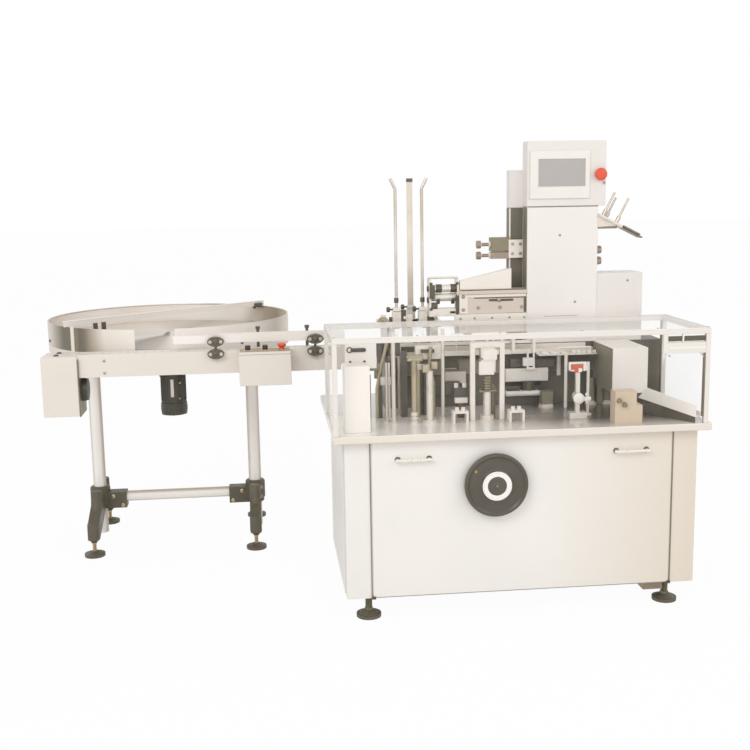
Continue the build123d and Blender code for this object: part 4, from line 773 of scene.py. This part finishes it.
def feeder_details():
    """Flared knobs, box cover and a bolted plate on the feeder arms, and the trim of the column."""
    low, high = node_mm("feeder_column")
    arms_left, box_left = node_mm("feeder_arms")[0].x, low.x - 84
    top, back = TOWER_HIGH.z, TOWER_HIGH.y
    knob = [(0, 0), (8, 0), (10.5, 3), (15.5, 6.5), (17, 9.5), (15.5, 13), (11, 16.2), (5, 18.4), (0, 18.8)]
    stem = [(0, 0), (15, 0), (15, 5), (11, 8), (7.6, 10), (7.6, 40), (11, 43), (11, 46), (0, 46)]
    levels = (top - 169, top - 219)
    build("arm_knobs", "olive_steel",
          spun=[((arms_left + 19.4, back + 18, z), LEFT, knob, 32) for z in levels])
    build("arm_stems", "pale_plate",
          spun=[((box_left, back + 18, z), LEFT, stem, 28) for z in levels])
    build("upper_arm_cover", "olive_steel",
          [(box_left - 0.8, low.x + 0.3, back - 13, back + 49, top - 200.6, top - 137.4, 2)])
    build("arm_plate_face", "pale_plate",
          [(low.x - 6, TOWER_LOW.x + 0.5, back - 16, back - 11.6, top - 231, top - 148, 1.2)])
    build("arm_plate_bolts", "screw",
          bolts=[((x, back - 16, z), FRONT, 5, 6)
                 for x in (low.x + 12, TOWER_LOW.x - 14) for z in (top - 168, top - 211)])
    build("column_edge", "pale_plate",
          [(low.x - 1, low.x + 5.5, low.y - 1.2, low.y + 1, 1242, high.z - 2, 0.6)])
    side = []
    for z in (top - 200, top - 250):
        start = Vector((TOWER_HIGH.x, TOWER_LOW.y + 43, z))
        side += [(start, ACROSS, 7, 13, 1.2, 32), (start + ACROSS * 6.5, ACROSS, 22.5, 20, 2.6, 9, 17.6),
                 (start + ACROSS * 28.5, ACROSS, 2, 7, 0.6, 24)]
    build("side_knobs", "turned_brown", rods=side, replaces=("hand_knobs",))


def control_details():
    """The olive top plate of the control box, its knobs with their skirts, and the seam of its lid."""
    low, high = node_mm("control_box")
    y, top, knobs = (low.y + high.y) / 2, high.z, (low.x + 40, low.x + 118)
    build("control_plate", "olive_top",
          [(low.x + 4, high.x - 4, low.y + 4, high.y - 4, top - 0.5, top + 1.4, 0.7)])
    skirt = [(0, 0), (15, 0), (15, 3), (12.6, 4.4), (12.2, 20), (10.6, 23.2), (0, 23.8)]
    build("control_knobs", "knob",
          [(x - 2.6, x + 2.6, y - 12.4, y + 12.4, top + 12, top + 24, 1) for x in knobs],
          spun=[((x, y, top), UP, skirt, 32) for x in knobs])
    build("knob_skirts", "dial_white",
          [(x - 1, x + 1, y - 12.6, y - 4, top + 23.6, top + 24.4, 0.3, 1) for x in knobs],
          spun=[((x, y, top + 1.2), UP, [(15.8, 0), (20, 0), (20, 1.2), (15.8, 1.2)], 36, True)
                for x in knobs])
    seam = (top - 13, top - 11.4, 0.3, 1)
    build("control_seam", "seam",
          [(low.x + 2, high.x - 2, low.y - 0.7, low.y + 1, *seam),
           (low.x - 0.7, low.x + 1, low.y + 2, high.y - 2, *seam),
           (high.x - 1, high.x + 0.7, low.y + 2, high.y - 2, *seam)])


def drive_details():
    """The end box's dark side cover, its cap screws, and the motor's ribbed shell."""
    low, high = node_mm("drive_box")
    build("drive_side_cover", "olive_steel",
          [(high.x - 0.5, high.x + 4.5, low.y - 2.5, high.y + 1, low.z - 2.5, high.z - 14, 1.4)])
    build("drive_cap_screws", "dark_steel",
          spun=[((low.x + 62, y, high.z), UP,
                 [(0, 0), (13, 0), (12.4, 2.6), (8, 4.4), (7.6, 6.6), (3.6, 7), (3.2, 4), (0, 4)], 28)
                for y in (low.y + 46, high.y - 40)])
    y, z = low.y + 85, low.z + 110
    ways = [math.radians(index * 30) for index in range(12)]
    build("drive_motor_shell", "motor_black",
          rods=[((high.x + 9, y + 51 * math.cos(way), z + 51 * math.sin(way)), ACROSS, 12, 2.2, 0.6, 8)
                for way in ways],
          spun=[((high.x + 4, y, z), ACROSS, [(0, 0), (54, 0), (54, 5), (50.6, 6), (50.6, 22), (49.6, 25),
                                              (44, 26.8), (14, 27.4), (0, 27.4)], 48)])


def round_turn(radius, way, z):
    """A place at a distance and an angle from the turntable's upright axis."""
    return Vector((TURN.x + radius * math.cos(way), TURN.y + radius * math.sin(way), z))


def gearmotor_details():
    """Flange, ribs, fan cover, bolts and a bare plate on the turntable's gearmotor."""
    foot, ribs, vents = 662, 28, 16
    shell = [(0, -1), (50, -1), (60, 1.5), (65.6, 6), (67.4, 12), (67.4, 58), (66.6, 61), (63, 62.4),
             (63, 66), (62.6, 214), (69, 216), (69, 226), (62, 226), (0, 226)]
    ways = [math.tau * index / ribs for index in range(ribs)]
    build("gearmotor_shell", "motor_black",
          rods=[(round_turn(63.4, way, foot + 70), UP, 138, 2.4, 0.8, 8)
                for way in ways if abs(math.sin(way) + 1) >= 0.06],
          spun=[((TURN.x, TURN.y, foot), UP, shell, 56)],
          bolts=[((TURN.x + across, TURN.y + deep, 876), DOWN, 8, 9)
                 for across in (-56, 56) for deep in (-56, 56)])
    build("gearmotor_bolts", "screw",
          spun=[((TURN.x + side, TURN.y - 57, z), FRONT,
                 [(0, -6), (6, -6), (6, 3), (4.6, 5), (0, 5)], 20) for side, z in ((38, 832), (34, 750))],
          bolts=[(round_turn(50, math.tau * (index + 0.5) / 6, foot - 0.6), DOWN, 3.4, 3.6)
                 for index in range(6)])
    build("gearmotor_plate", "dial_white",
          [(TURN.x - 9, TURN.x + 7, TURN.y - 69.5, TURN.y - 64.6, 760, 852, 1.2)])
    build("fan_cover_slots", "dark_steel",
          rods=[(round_turn(66.2, math.tau * index / vents, foot + 18), UP, 30, 2.6, 0.6, 8)
                for index in range(vents)])


def clamp_details():
    """Silver bolts and upright rods on the oval rail clamps, with their dark hubs."""
    face = node_mm("rail_clamps")[0].y
    posts, levels = (-530, -78), (1074, 1130)
    head = [(0, 0), (8.4, 0), (8.2, 2.4), (6.4, 4.2), (3, 4.6), (2.6, 2.6), (0, 2.6)]
    build("clamp_bolts", "polished",
          rods=[((x, face + 12, 1040), UP, 118, 5.2, 1, 20) for x in posts],
          spun=[((x + side * 24, face + 0.4, z), FRONT, head, 24)
                for x in posts for z in levels for side in (-1, 1)])
    build("clamp_hubs", "dark_steel",
          spun=[((x, face + 0.5, z), FRONT, [(0, 0), (13, 0), (12.4, 2.6), (9, 4.6), (0, 5.2)], 28)
                for x in posts for z in levels])


def upright_plate(middle, across, low, high, thickness, out, edge):
    """The row of an upright plate: its middle, half its width along a direction, and its two levels."""
    corners = [middle - across + UP * low, middle + across + UP * low, middle + across + UP * high,
               middle - across + UP * high]
    return corners, thickness, out, edge


def rim_details():
    """A rolled edge on the rim, its strap and bolts, and the diverter bar's bracket, hangers and cap."""
    low, high = node_mm("turntable_rim")
    top = high.z
    gap_start, gap_end = -101, -83.5
    bead = curve_points((TURN.x, TURN.y, top - 3.4), RIM_REACH - 3.6, gap_end, 360 + gap_start, 110,
                        ACROSS, BACK)
    build("rim_bead", "polished", bends=[(bead, 3.3, 10)])
    way = math.radians(226.5)
    out = Vector((math.cos(way), math.sin(way), 0))
    spot = round_turn(RIM_REACH + 1, way, 0)
    build("rim_strap", "pale_plate",
          plates=[upright_plate(spot, Vector((-out.y, out.x, 0)) * 12, low.z - 18, top + 6, 5, out, 0.8)])
    start, end = (round_turn(RIM_REACH, math.radians(angle), 0) for angle in (222, 39))
    build("bar_end_bracket", "dark_steel",
          [(end.x - 52, end.x + 4, end.y - 40, end.y - 4, top - 6, top + 17, 3)],
          [((end.x - 40, end.y - 24, top - 14), UP, 18, 8, 1.2, 24)])
    along = (end - start).normalized()
    across = Vector((along.y, -along.x, 0))
    build("bar_hangers", "dark_steel",
          plates=[upright_plate(start + (end - start) * share + along * 7 + across * 6, along * 11, top - 44,
                                top + 5, 7, across, 1) for share in (0.118, 0.156)])
    first, last, level = start - along * 12, end + along * 12, UP * (top + 24)
    corners = [first + across * 4 + level, last + across * 4 + level, last - across * 20 + level,
               first - across * 20 + level]
    build("bar_top_plate", "rail",
          spun=[(start + (end - start) * share - across * 8 + UP * (top + 27), UP,
                 [(0, 0), (7, 0), (6.6, 2), (4, 3.4), (0, 3.6)], 20) for share in (0.08, 0.33, 0.62, 0.9)],
          plates=[(corners, 3, UP, 0.6)])
    bolts = []
    for way in (math.radians(angle) for angle in (-52, 60, 135, 200)):
        bolts.append((round_turn(RIM_REACH, way, low.z + 24), (math.cos(way), math.sin(way), 0),
                      [(0, 0), (8, 0), (7.6, 2.6), (5, 4.4), (0, 4.8)], 24))
    build("rim_bolts", "dark_steel", spun=bolts)


def chain_plates():
    """Hinged plates on top of the conveyor's chain loop."""
    low, high = node_mm("conveyor_chain")
    pitch, end = 38.1, 55
    count = int((high.x - low.x - 2 * end) / pitch)
    starts = [low.x + end + index * pitch for index in range(count)]
    build("chain_plates", "chain",
          [(x + 0.8, x + pitch - 0.8, low.y + 0.6, high.y - 0.6, high.z - 0.6, high.z + 2.6, 0.8, 1)
           for x in starts])


def thread(place, turns, inner, outer):
    """The row of a threaded stretch of a spindle."""
    pitch, profile = 5, [(0, 0)]
    for index in range(turns):
        profile += [(inner, index * pitch), (outer, (index + 0.4) * pitch), (outer, (index + 0.6) * pitch)]
    return place, UP, profile + [(inner, turns * pitch), (0, turns * pitch)], 24


def foot_threads():
    """Threaded spindles with nuts on all eight feet."""
    places = [(x, TURN.y + way * FOOT_SPREAD) for x in STAND_X for way in (-1, 1)]
    build("stand_spindles", "zinc",
          rods=[((x, y, 62), UP, 8, 13.5, 1, 6) for x, y in places],
          spun=[thread((x, y, 24), 10, 8, 10) for x, y in places])
    places = [(x, y) for x in (97, 1403) for y in (75, 785)]
    build("cabinet_stems", "olive_steel",
          rods=[((x, y, z), UP, height, radius, 1, 6)
                for x, y in places for z, height, radius in ((91, 13, 21), (28, 11, 19))],
          spun=[thread((x, y, 28), 13, 13, 15) for x, y in places])


def bipod_details():
    """Curved covers over the stand's spread legs, clamp bolts, caps and tube rings."""
    top = node_mm("bipod_brackets")[1].z
    collar = [(33, 0), (50, 0), (51.5, 4), (51.5, 86), (48, 92), (42, 96), (33, 97)]
    cap = [(0, -1), (11, -1), (10.4, 3), (7, 5.4), (3, 5.8), (2.6, 3), (0, 3)]
    rods, bends, bolts, caps = [], [], [], []
    for x, side in zip(STAND_X, (1, -1)):
        for way, start, end in ((-1, 0, -72), (1, 180, 252)):
            y = TURN.y + way * 300
            bends.append((curve_points((x, y, top + 10), 168, start, end, 12, BACK, UP), 29, 20))
            y = TURN.y + way * FOOT_SPREAD
            rods += [((x, y, 84), UP, 86, 30, 6, 32), ((x, y, 85), DOWN, 17, 27, 3, 32, 13)]
            bolts += [((x - side * 30, TURN.y + way * 18 - 46, z), FRONT, 7, 8)
                      for z in (top - 26, top - 74)]
        caps += [((x + side * out, TURN.y - 36, z), FRONT, cap, 24)
                 for z, out in ((top - 98, 118), (top - 48, 70))]
    build("bracket_shells", "black_plastic", rods=rods, bends=bends,
          spun=[((x, TURN.y, top - 92), UP, collar, 48, True) for x in STAND_X])
    build("bracket_bolts", "zinc", bolts=bolts, spun=caps)


def line_details():
    """The beam's dark line, slot plate and end plate, its bolts, and the blade under the leaflet tray."""
    low, high = node_mm("line_beam")
    build("beam_lines", "dark_steel",
          [(low.x + 4, 880, low.y - 1.2, low.y + 1.5, high.z - 5, high.z - 0.5, 0.5),
           (640, 878, 498.2, 500.6, 1305, 1309, 0.5), (708, 821, 496.6, 500.6, 1292, 1301, 3.5, 3),
           (870, 881, 497, 500.6, 1240, 1305, 1)])
    build("beam_strip", "pale_plate",
          [(612, 880, 497, 501, 1311, 1324, 1), (571.5, 611, 496, 501, 1238, 1330, 1.4)])
    build("beam_bolts", "screw",
          spun=[((x, 484.4, 1218), FRONT, [(0, 0), (5.4, 0), (5, 1.6), (3, 2.6), (0, 2.8)], 18)
                for x in (575, 640, 720, 800, 868)]
          + [((754, 497, 1297), FRONT, [(0, 0), (9, 0), (8.6, 3), (5, 5), (0, 5.4)], 24)],
          bolts=[((590, 496.5, z), FRONT, 6, 6) for z in (1255, 1315)]
          + [((x, 500.4, 1262), FRONT, 6, 6) for x in (660, 760, 860)])
    tray, tilt = node_mm("leaflet_tray")[0], math.radians(27)
    along, above = Vector((math.cos(tilt), 0, -math.sin(tilt))), Vector((math.sin(tilt), 0, math.cos(tilt)))
    root = Vector((TOWER_HIGH.x + 10 * math.sin(tilt), tray.y, TOWER_HIGH.z - 36)) - above * 4.2
    corners = [root + along * run + BACK * deep
               for run, deep in ((124, -0.7), (212, -0.7), (212, 90.7), (124, 90.7))]
    build("tray_blade", "olive_steel", [(tray.x + 2, tray.x + 90, 496, 517, 1608, 1626, 1.5)],
          plates=[(corners, 7, above, 0.5)])


def roller_details():
    """Sleeves and end caps of the feed rollers, with the frame's dark blocks and bolts."""
    left, radius, y = node_mm("roller_frame")[0].x, 18, 535
    build("roller_caps", "dark_steel",
          [(437, 461, 494, 512, 1308, 1370, 3), (444, 474, 500, 512, 1262, 1292, 3),
           (556, 570, 492, 512, 1236, 1322, 3), (527, 557, 500, 512, 1238, 1254, 3)],
          [((x, y, 1352), ACROSS, 28, radius + 1.6, 2, 32) for x in (469, 536)]
          + [((x, y, 1300), ACROSS, 12, radius + 1.2, 1.6, 32) for x in (475, 542)],
          [((left + 0.3, y, z), LEFT, [(0, 0), (15, 0), (14.4, 3), (10, 6), (0, 7)], 28)
           for z in (1300, 1352)],
          [((x, 500.4, z), FRONT, 5, 6) for x in (left + 8, 563) for z in (1262, 1376)])


def magazine_details():
    """The rod magazine's clamps with their knobs, small blocks, adjusting wheel and rod stops."""
    posts, foot = ((293, 560), (413, 560), (372, 660)), (232, 330, 352, 468)
    base = node_mm("magazine_base")[0].z
    build("magazine_clamps", "pale_plate",
          [(x - 17, x + 17, y - 14.6, y + 14.6, 1252, 1268, 1.6) for x, y in posts]
          + [(x - 13, x + 13, 548, 566, base + 2, 1236, 1.4) for x in foot],
          bolts=[((x, 548, 1222), FRONT, 5, 5) for x in foot])
    build("magazine_knobs", "dark_steel",
          [(x0, x1, 547, 560, z0, z1, 2)
           for x0, x1, z0, z1 in ((261, 307, 1173, 1190), (339, 357, 1173, 1190), (408, 498, 1174, 1190),
                                  (258, 290, 1204, 1226), (434, 467, 1204, 1226), (312, 336, 1204, 1258))],
          [((x - 16, y - 4, 1260), LEFT, 16, 4, 0.6, 16) for x, y in posts],
          [((x - 30, y - 4, 1260), LEFT, [(0, 0), (9, 0), (12, 3), (12, 13), (9.5, 16), (0, 16.5)], 20)
           for x, y in posts])
    build("magazine_wheel", "bronze",
          spun=[((228, 546, 1203), FRONT, [(0, 0), (9, 0), (9, 4), (24, 5), (27, 7.5), (27, 15), (25, 17.5),
                                           (12, 18), (11, 21), (0, 21)], 36)])
    top = node_mm("magazine_rods")[1].z
    build("magazine_stops", "dark_steel", [(358, 386, 651, 669, top - 18, top - 2, 1.2)],
          [((x, 560, 1290), UP, 22, 10.5, 1, 24) for x in (293, 413)])


def guard_details():
    """Bright edges of the acrylic, the dark seal over the outfeed bay, corner and gusset screws, and dark
    strips painted as shade on the right posts' left faces.
    """
    low, high = node_mm("guard_cross_rails")
    left, right, top = low.x, high.x, high.z + 5
    lip = (top - 5, top - 0.4, 0.6)
    build("acrylic_edges", "edge_white",
          [(left + 1, right - 1, low.y - 0.8, low.y + 1, *lip), (left + 1, right - 1, 460.6, 462.6, *lip),
           (right - 1.4, right + 0.6, -44, 461, *lip), (left - 0.6, left + 1.4, -44, 461, *lip)])
    build("bay_seal", "dark_steel", [(1343, 1504, -38, -30, 1160, 1181, 1)])
    build("bay_divider", "edge_white",
          [(1404, 1411, -42, -30, 1157, 1189, 1), (1344, 1503, -47, -43, 1127, 1139, 1)])
    build("guard_screws", "screw",
          spun=[((x, -35, top), UP, [(0, 0), (6, 0), (5.4, 1.8), (3, 2.8), (0, 3)], 20)
                for x in (left + 10, 300, 640, 980, 1300, right - 10)]
          + [((x, -38, 1100), FRONT, [(0, 0), (4.2, 0), (4, 1.4), (0, 2)], 18) for x in (1351, 1496)])
    # Dark strips on the right posts' left faces: painted shade
    build("post_side_shade", "seam",
          [(1499.5, 1505.4, -44, -26, 840, 1108, 1), (1500.2, 1505.2, 443, 461, 816, 1188, 1)])


def left_machinery():
    """The left third of the table, behind the guard: the cover's bracket, bent rods, blocks and rods."""
    build("cover_bracket", "edge_white", [(20, 152, 125, 131, 1062, 1172, 1.6)])
    build("cover_bracket_slot", "dark_steel", [(44, 108, 123.6, 125.6, 1134, 1149, 6.8, 4)],
          [((x, 125.2, 1092), FRONT, 1.4, 5.5, 0.4, 20) for x in (42, 101)],
          [((40, 125.2, 1142), FRONT, [(8, 0), (13, 0), (13, 1.4), (8, 1.4)], 28, True)])
    build("bracket_block", "olive_steel", [(104, 166, 131, 160, 1050, 1080, 3)],
          [((150, 144, 1050), DOWN, 34, 7, 1, 20)])
    build("bent_rods", "bronze",
          [(300, 372, 290, 330, 1060, 1085, 3), (287.4, 344.6, 157.4, 190.6, 1081.4, 1092.6, 2),
           (352, 380, 168, 200, 1028, 1062, 4), (396, 424, 214, 240, 1034, 1066, 4)],
          [((352, 300, TABLE), UP, 250, 9, 1, 20), ((140, 330, TABLE), UP, 190, 7, 1, 18),
           ((316, 174, 860), UP, 220, 11.4, 0.8, 28)],
          bends=[([(171, 300, TABLE), (171, 300, 940), (190, 300, 1040), (222, 300, 1165)], 8, 14),
                 ([(250, 330, TABLE), (250, 330, 1010), (236, 330, 1100), (252, 330, 1180)], 6, 12),
                 ([(420, 300, TABLE), (420, 300, 960), (400, 300, 1035), (408, 300, 1120)], 8, 14)])
    build("white_rods", "edge_white", [(182, 226, 250, 262, 966, 1002, 2)],
          [((220, 262, TABLE), UP, 250, 4.4, 0.8, 16), ((220, 262, TABLE), UP, 9, 12, 1.2, 24)],
          [((196, 250, 985), FRONT, [(0, 0), (14, 0), (14, 6), (11, 9), (5, 9.6), (0, 9.6)], 28)])


def feed_rig():
    """Pale and dark blocks of the feed mechanism, along the table and on the wall behind it."""
    build("feed_rig", "pale_plate",
          [(344, 456, 322, 352, 1062, 1122, 2), (360, 432, 316, 322, 1088, 1112, 2),
           (336, 384, 205, 240, 1036, 1056, 2.5), (440, 1160, 494, 500.5, 1057, 1092, 1.6),
           (503, 600, 488, 500.5, 921, 975, 2), (504, 559, 492, 500.5, 987, 1025, 2),
           (775, 975, 455.4, 460.8, 925, 986, 2)])
    build("dark_blocks", "dark_steel",
          [(800, 853, 457, 460.8, 991, 1030, 1), (911, 1003, 457, 460.8, 989, 1026, 1),
           (380, 420, 330, 352, TABLE, 1062, 2), (236, 300, 380, 460.5, 960, 1040, 4),
           (174, 194, 300, 330, TABLE, 1135, 2), (214, 225, 340, 360, TABLE, 1159, 2),
           (165, 279, 340, 372, 1078, 1148, 2), (278, 305, 300, 324, TABLE, 1101, 2),
           (362, 382, 340, 366, TABLE, 1049, 2), (366, 426, 314.4, 316.4, 1092, 1108, 3),
           (470, 530, 296, 330, 905, 960, 4), (500, 562, 488.5, 493, 992, 1030, 2),
           (784, 866, 488.5, 493, 986, 1026, 2), (776, 920, 470, 485, 874, 903, 2),
           (452, 620, 492, 500.5, 860, 905, 2), (500, 562, 250, 274, 901, 944, 3),
           (516, 548, 240, 262, TABLE, 880, 3)],
          [((880, 452, 868), UP, 60, 26, 3, 32)])


def middle_machinery():
    """The nest block, the lifting portal's faces, spring and side rods, and its bright rings."""
    build("nest_block", "edge_white", [(503, 558, 232, 262, 879, 902, 2)],
          [((x, 260, 943), UP, 20, 10, 2, 6) for x in (512, 548)])
    build("lift_faces", "edge_white",
          [(611, 672, 162, 174, 1076, 1119, 1.8), (594, 659, 160, 176, 1012, 1069, 1.8)])
    x, y = 633.5, 187
    spring = [(9.2, 0)] + [(21 - 3 * (index % 2), 4 + index * 6) for index in range(11)] + [(9.2, 68)]
    build("lift_side_rods", "olive_steel", [(596, 672, 168, 206, 936, 944, 1.5)],
          [((668, 238, TABLE), UP, 124, 13, 1.4, 28)],
          [((668, 238, 936), UP, [(0, 0), (16, 0), (16, 6), (11, 9), (7, 22), (0, 22)], 28),
           ((x, y, 944), UP, spring, 36, True)])
    build("lift_rings", "machined", rods=[((x, y, 834), UP, 102, 17, 1.6, 40)],
          bolts=[((x, y, 1150), UP, 7, 8) for x in (569, 698, 633)])


def right_machinery():
    """Wall panels with a bar and brackets, slim rods, and the strips on the carton shelf."""
    build("wall_panels", "edge_white",
          [(779, 943, 452, 460.5, 928, 976, 1.6), (851, 905, 426, 444, 1000, 1038, 1.6),
           (801, 815, 432, 448, 1062, 1128, 1.4), (895, 909, 432, 448, 1062, 1128, 1.4),
           (868, 876, 424, 436, 992, 1062, 1), (896, 904, 424, 436, 992, 1062, 1),
           (866, 906, 424, 436, 984, 994, 1.2)]
          + [(x - 5, x + 5, 440, 500.5, 868, 884, 1) for x in (780, 850, 925)]
          + [(x - 4, x + 4, 440, 500.5, 1004, 1014, 0.8) for x in (876, 890)],
          [((771, 430, 875), ACROSS, 158, 12, 2, 28)])
    build("slim_rods", "edge_white",
          rods=[((1036, 382, TABLE), UP, 240, 7.5, 1, 20), ((1082, 200, TABLE), UP, 236, 6.5, 1, 20),
                ((1082, 200, TABLE), UP, 8, 17, 1.2, 28), ((998, 380, 1086), ACROSS, 152, 4.5, 1, 16),
                ((1002, 380, 1056), UP, 32, 3.6, 0.6, 14), ((1146, 380, 1056), UP, 32, 3.6, 0.6, 14)])
    build("shelf_strips", "edge_white",
          [(1064 + index * 24, 1077 + index * 24, 379, 384, 1060, 1076 - index, 1) for index in range(5)]
          + [(930 + index * 42, 956 + index * 42, 382, 440, 1058.4, 1064, 1) for index in range(3)])


def counter():
    """The counter's pale frame, red window and swivel joint."""
    build("counter_frame", "edge_white",
          [(x0, x1, 141, 149.5, z0, z1, 1)
           for x0, x1, z0, z1 in ((979, 1052, 1049, 1058), (979, 988, 1018, 1050), (1043, 1052, 1018, 1050),
                                  (979, 1004, 1018, 1024))] + [(1040, 1078, 136, 150, 888, 906, 3)],
          [((1060, 143, z - 6), UP, 12, 7, 1.5, 6) for z in (884, 916)],
          [((1022, 137, 900), FRONT, [(0, 0), (24, 0), (24, 6), (19, 10), (8, 11), (0, 11)], 36)])
    build("counter_window", "counter_red",
          [(990, 1042, 144.5, 149.6, 1020, 1047, 1.4), (1002, 1030, 143.6, 149, 1012, 1021, 1)])
    build("counter_reset", "dial_white", [(1022, 1038, 142.8, 145, 1014, 1030, 1)])


def gauge_and_hood():
    """Knurled knobs on the gauge block, a dark plate painted as shade on the chute hood's left side, and a
    faceted pillar.
    """
    left = node_mm("gauge_block")[0].x
    build("gauge_knobs", "olive_steel",
          spun=[((left + right, -12, TABLE + up), FRONT,
                 [(0, 0), (11, 0), (11, 3), (9.4, 4.4), (10.2, 6), (10.2, 14), (8.6, 16.2), (0, 16.4)], 18)
                for right, up in ((17, 102), (40, 84))])
    low, high = node_mm("chute_hood")
    # A dark plate on the chute hood's left side: painted shade
    build("hood_side_shade", "hood_shade",
          [(low.x - 1.2, low.x + 0.8, low.y + 6, high.y - 3, low.z + 2, high.z - 6, 0.6)])
    build("faceted_pillar", "olive_steel", rods=[((1212, 440, TABLE), UP, 118, 18.5, 3, 9)])


for make in (cabinet_trim, handwheel_parts, stop_heads, display_parts, feeder_details, control_details,
             drive_details, gearmotor_details, clamp_details, rim_details, chain_plates, foot_threads,
             bipod_details, line_details, roller_details, magazine_details, guard_details, left_machinery,
             feed_rig, middle_machinery, right_machinery, counter, gauge_and_hood):
    make()


# Floor, backdrop and light


def seen_share(nodes):
    """1 for a camera, glossy or transmission ray, and 0 for light on the object."""
    camera, glossy, through = (Value(nodes, nodes.node("ShaderNodeLightPath", {}, {}, ray)) for ray in
                               ("Is Camera Ray", "Is Glossy Ray", "Is Transmission Ray"))
    return camera.or_more(glossy).or_more(through)


def make_floor():
    """A plain pale floor that reads white and keeps a soft shadow."""
    bm = bmesh.new()
    bmesh.ops.create_grid(bm, x_segments=1, y_segments=1, size=FLOOR_REACH)
    mesh = bpy.data.meshes.new("floor")
    bm.to_mesh(mesh)
    bm.free()
    floor = bpy.data.objects.new("floor", mesh)
    bpy.context.scene.collection.objects.link(floor)
    paint = Paint("floor", base_color=FLOOR_COLOUR, roughness=0.7)
    white = paint.node("ShaderNodeEmission", {}, {})
    share = seen_share(paint) * FLOOR_WHITE
    mixed = paint.node("ShaderNodeMixShader", {}, [share, paint.shader.outputs[0], white])
    paint.tree.links.new(mixed, paint.tree.nodes["Material Output"].inputs["Surface"])
    mesh.materials.append(paint.material)


def make_world():
    """An even pale sky, plain white wherever the camera or a reflection meets it."""
    world = bpy.data.worlds.new("world")
    bpy.context.scene.world = world
    world.use_nodes = True
    sky = Nodes(world.node_tree)
    light = sky.node("ShaderNodeBackground", {}, {"Color": SKY_COLOUR, "Strength": SKY_LIGHT})
    seen = sky.node("ShaderNodeBackground", {}, {"Color": (1.0, 1.0, 1.0)})
    mixed = sky.node("ShaderNodeMixShader", {}, [seen_share(sky), light, seen])
    sky.tree.links.new(mixed, sky.tree.nodes["World Output"].inputs["Surface"])


def make_lamp(name, place, aim, width, height, power):
    """A soft oblong lamp, turned to a point on the machine."""
    data = bpy.data.lights.new(name, "AREA")
    data.shape = "RECTANGLE"
    data.size = width
    data.size_y = height
    data.energy = power
    lamp = bpy.data.objects.new(name, data)
    lamp.location = place
    lamp.rotation_euler = (Vector(aim) - Vector(place)).to_track_quat("-Z", "Y").to_euler()
    bpy.context.scene.collection.objects.link(lamp)


FLOOR_REACH = 60.0
FLOOR_COLOUR = (0.90, 0.89, 0.87)
FLOOR_WHITE = 0.96
SKY_COLOUR = (1.0, 0.985, 0.965)
SKY_LIGHT = 0.72
make_floor()
make_world()
make_lamp("key", (-2.6, -4.4, 4.0), (0.2, 0.0, 0.8), 2.6, 2.0, 83.0)
make_lamp("fill", (3.4, -3.0, 3.0), (0.2, 0.0, 0.9), 2.4, 2.0, 22.0)
make_lamp("front", (1.3, -4.8, 2.0), (0.6, 0.0, 1.1), 2.6, 1.6, 15.0)

bpy.context.scene.view_settings.view_transform = "Standard"
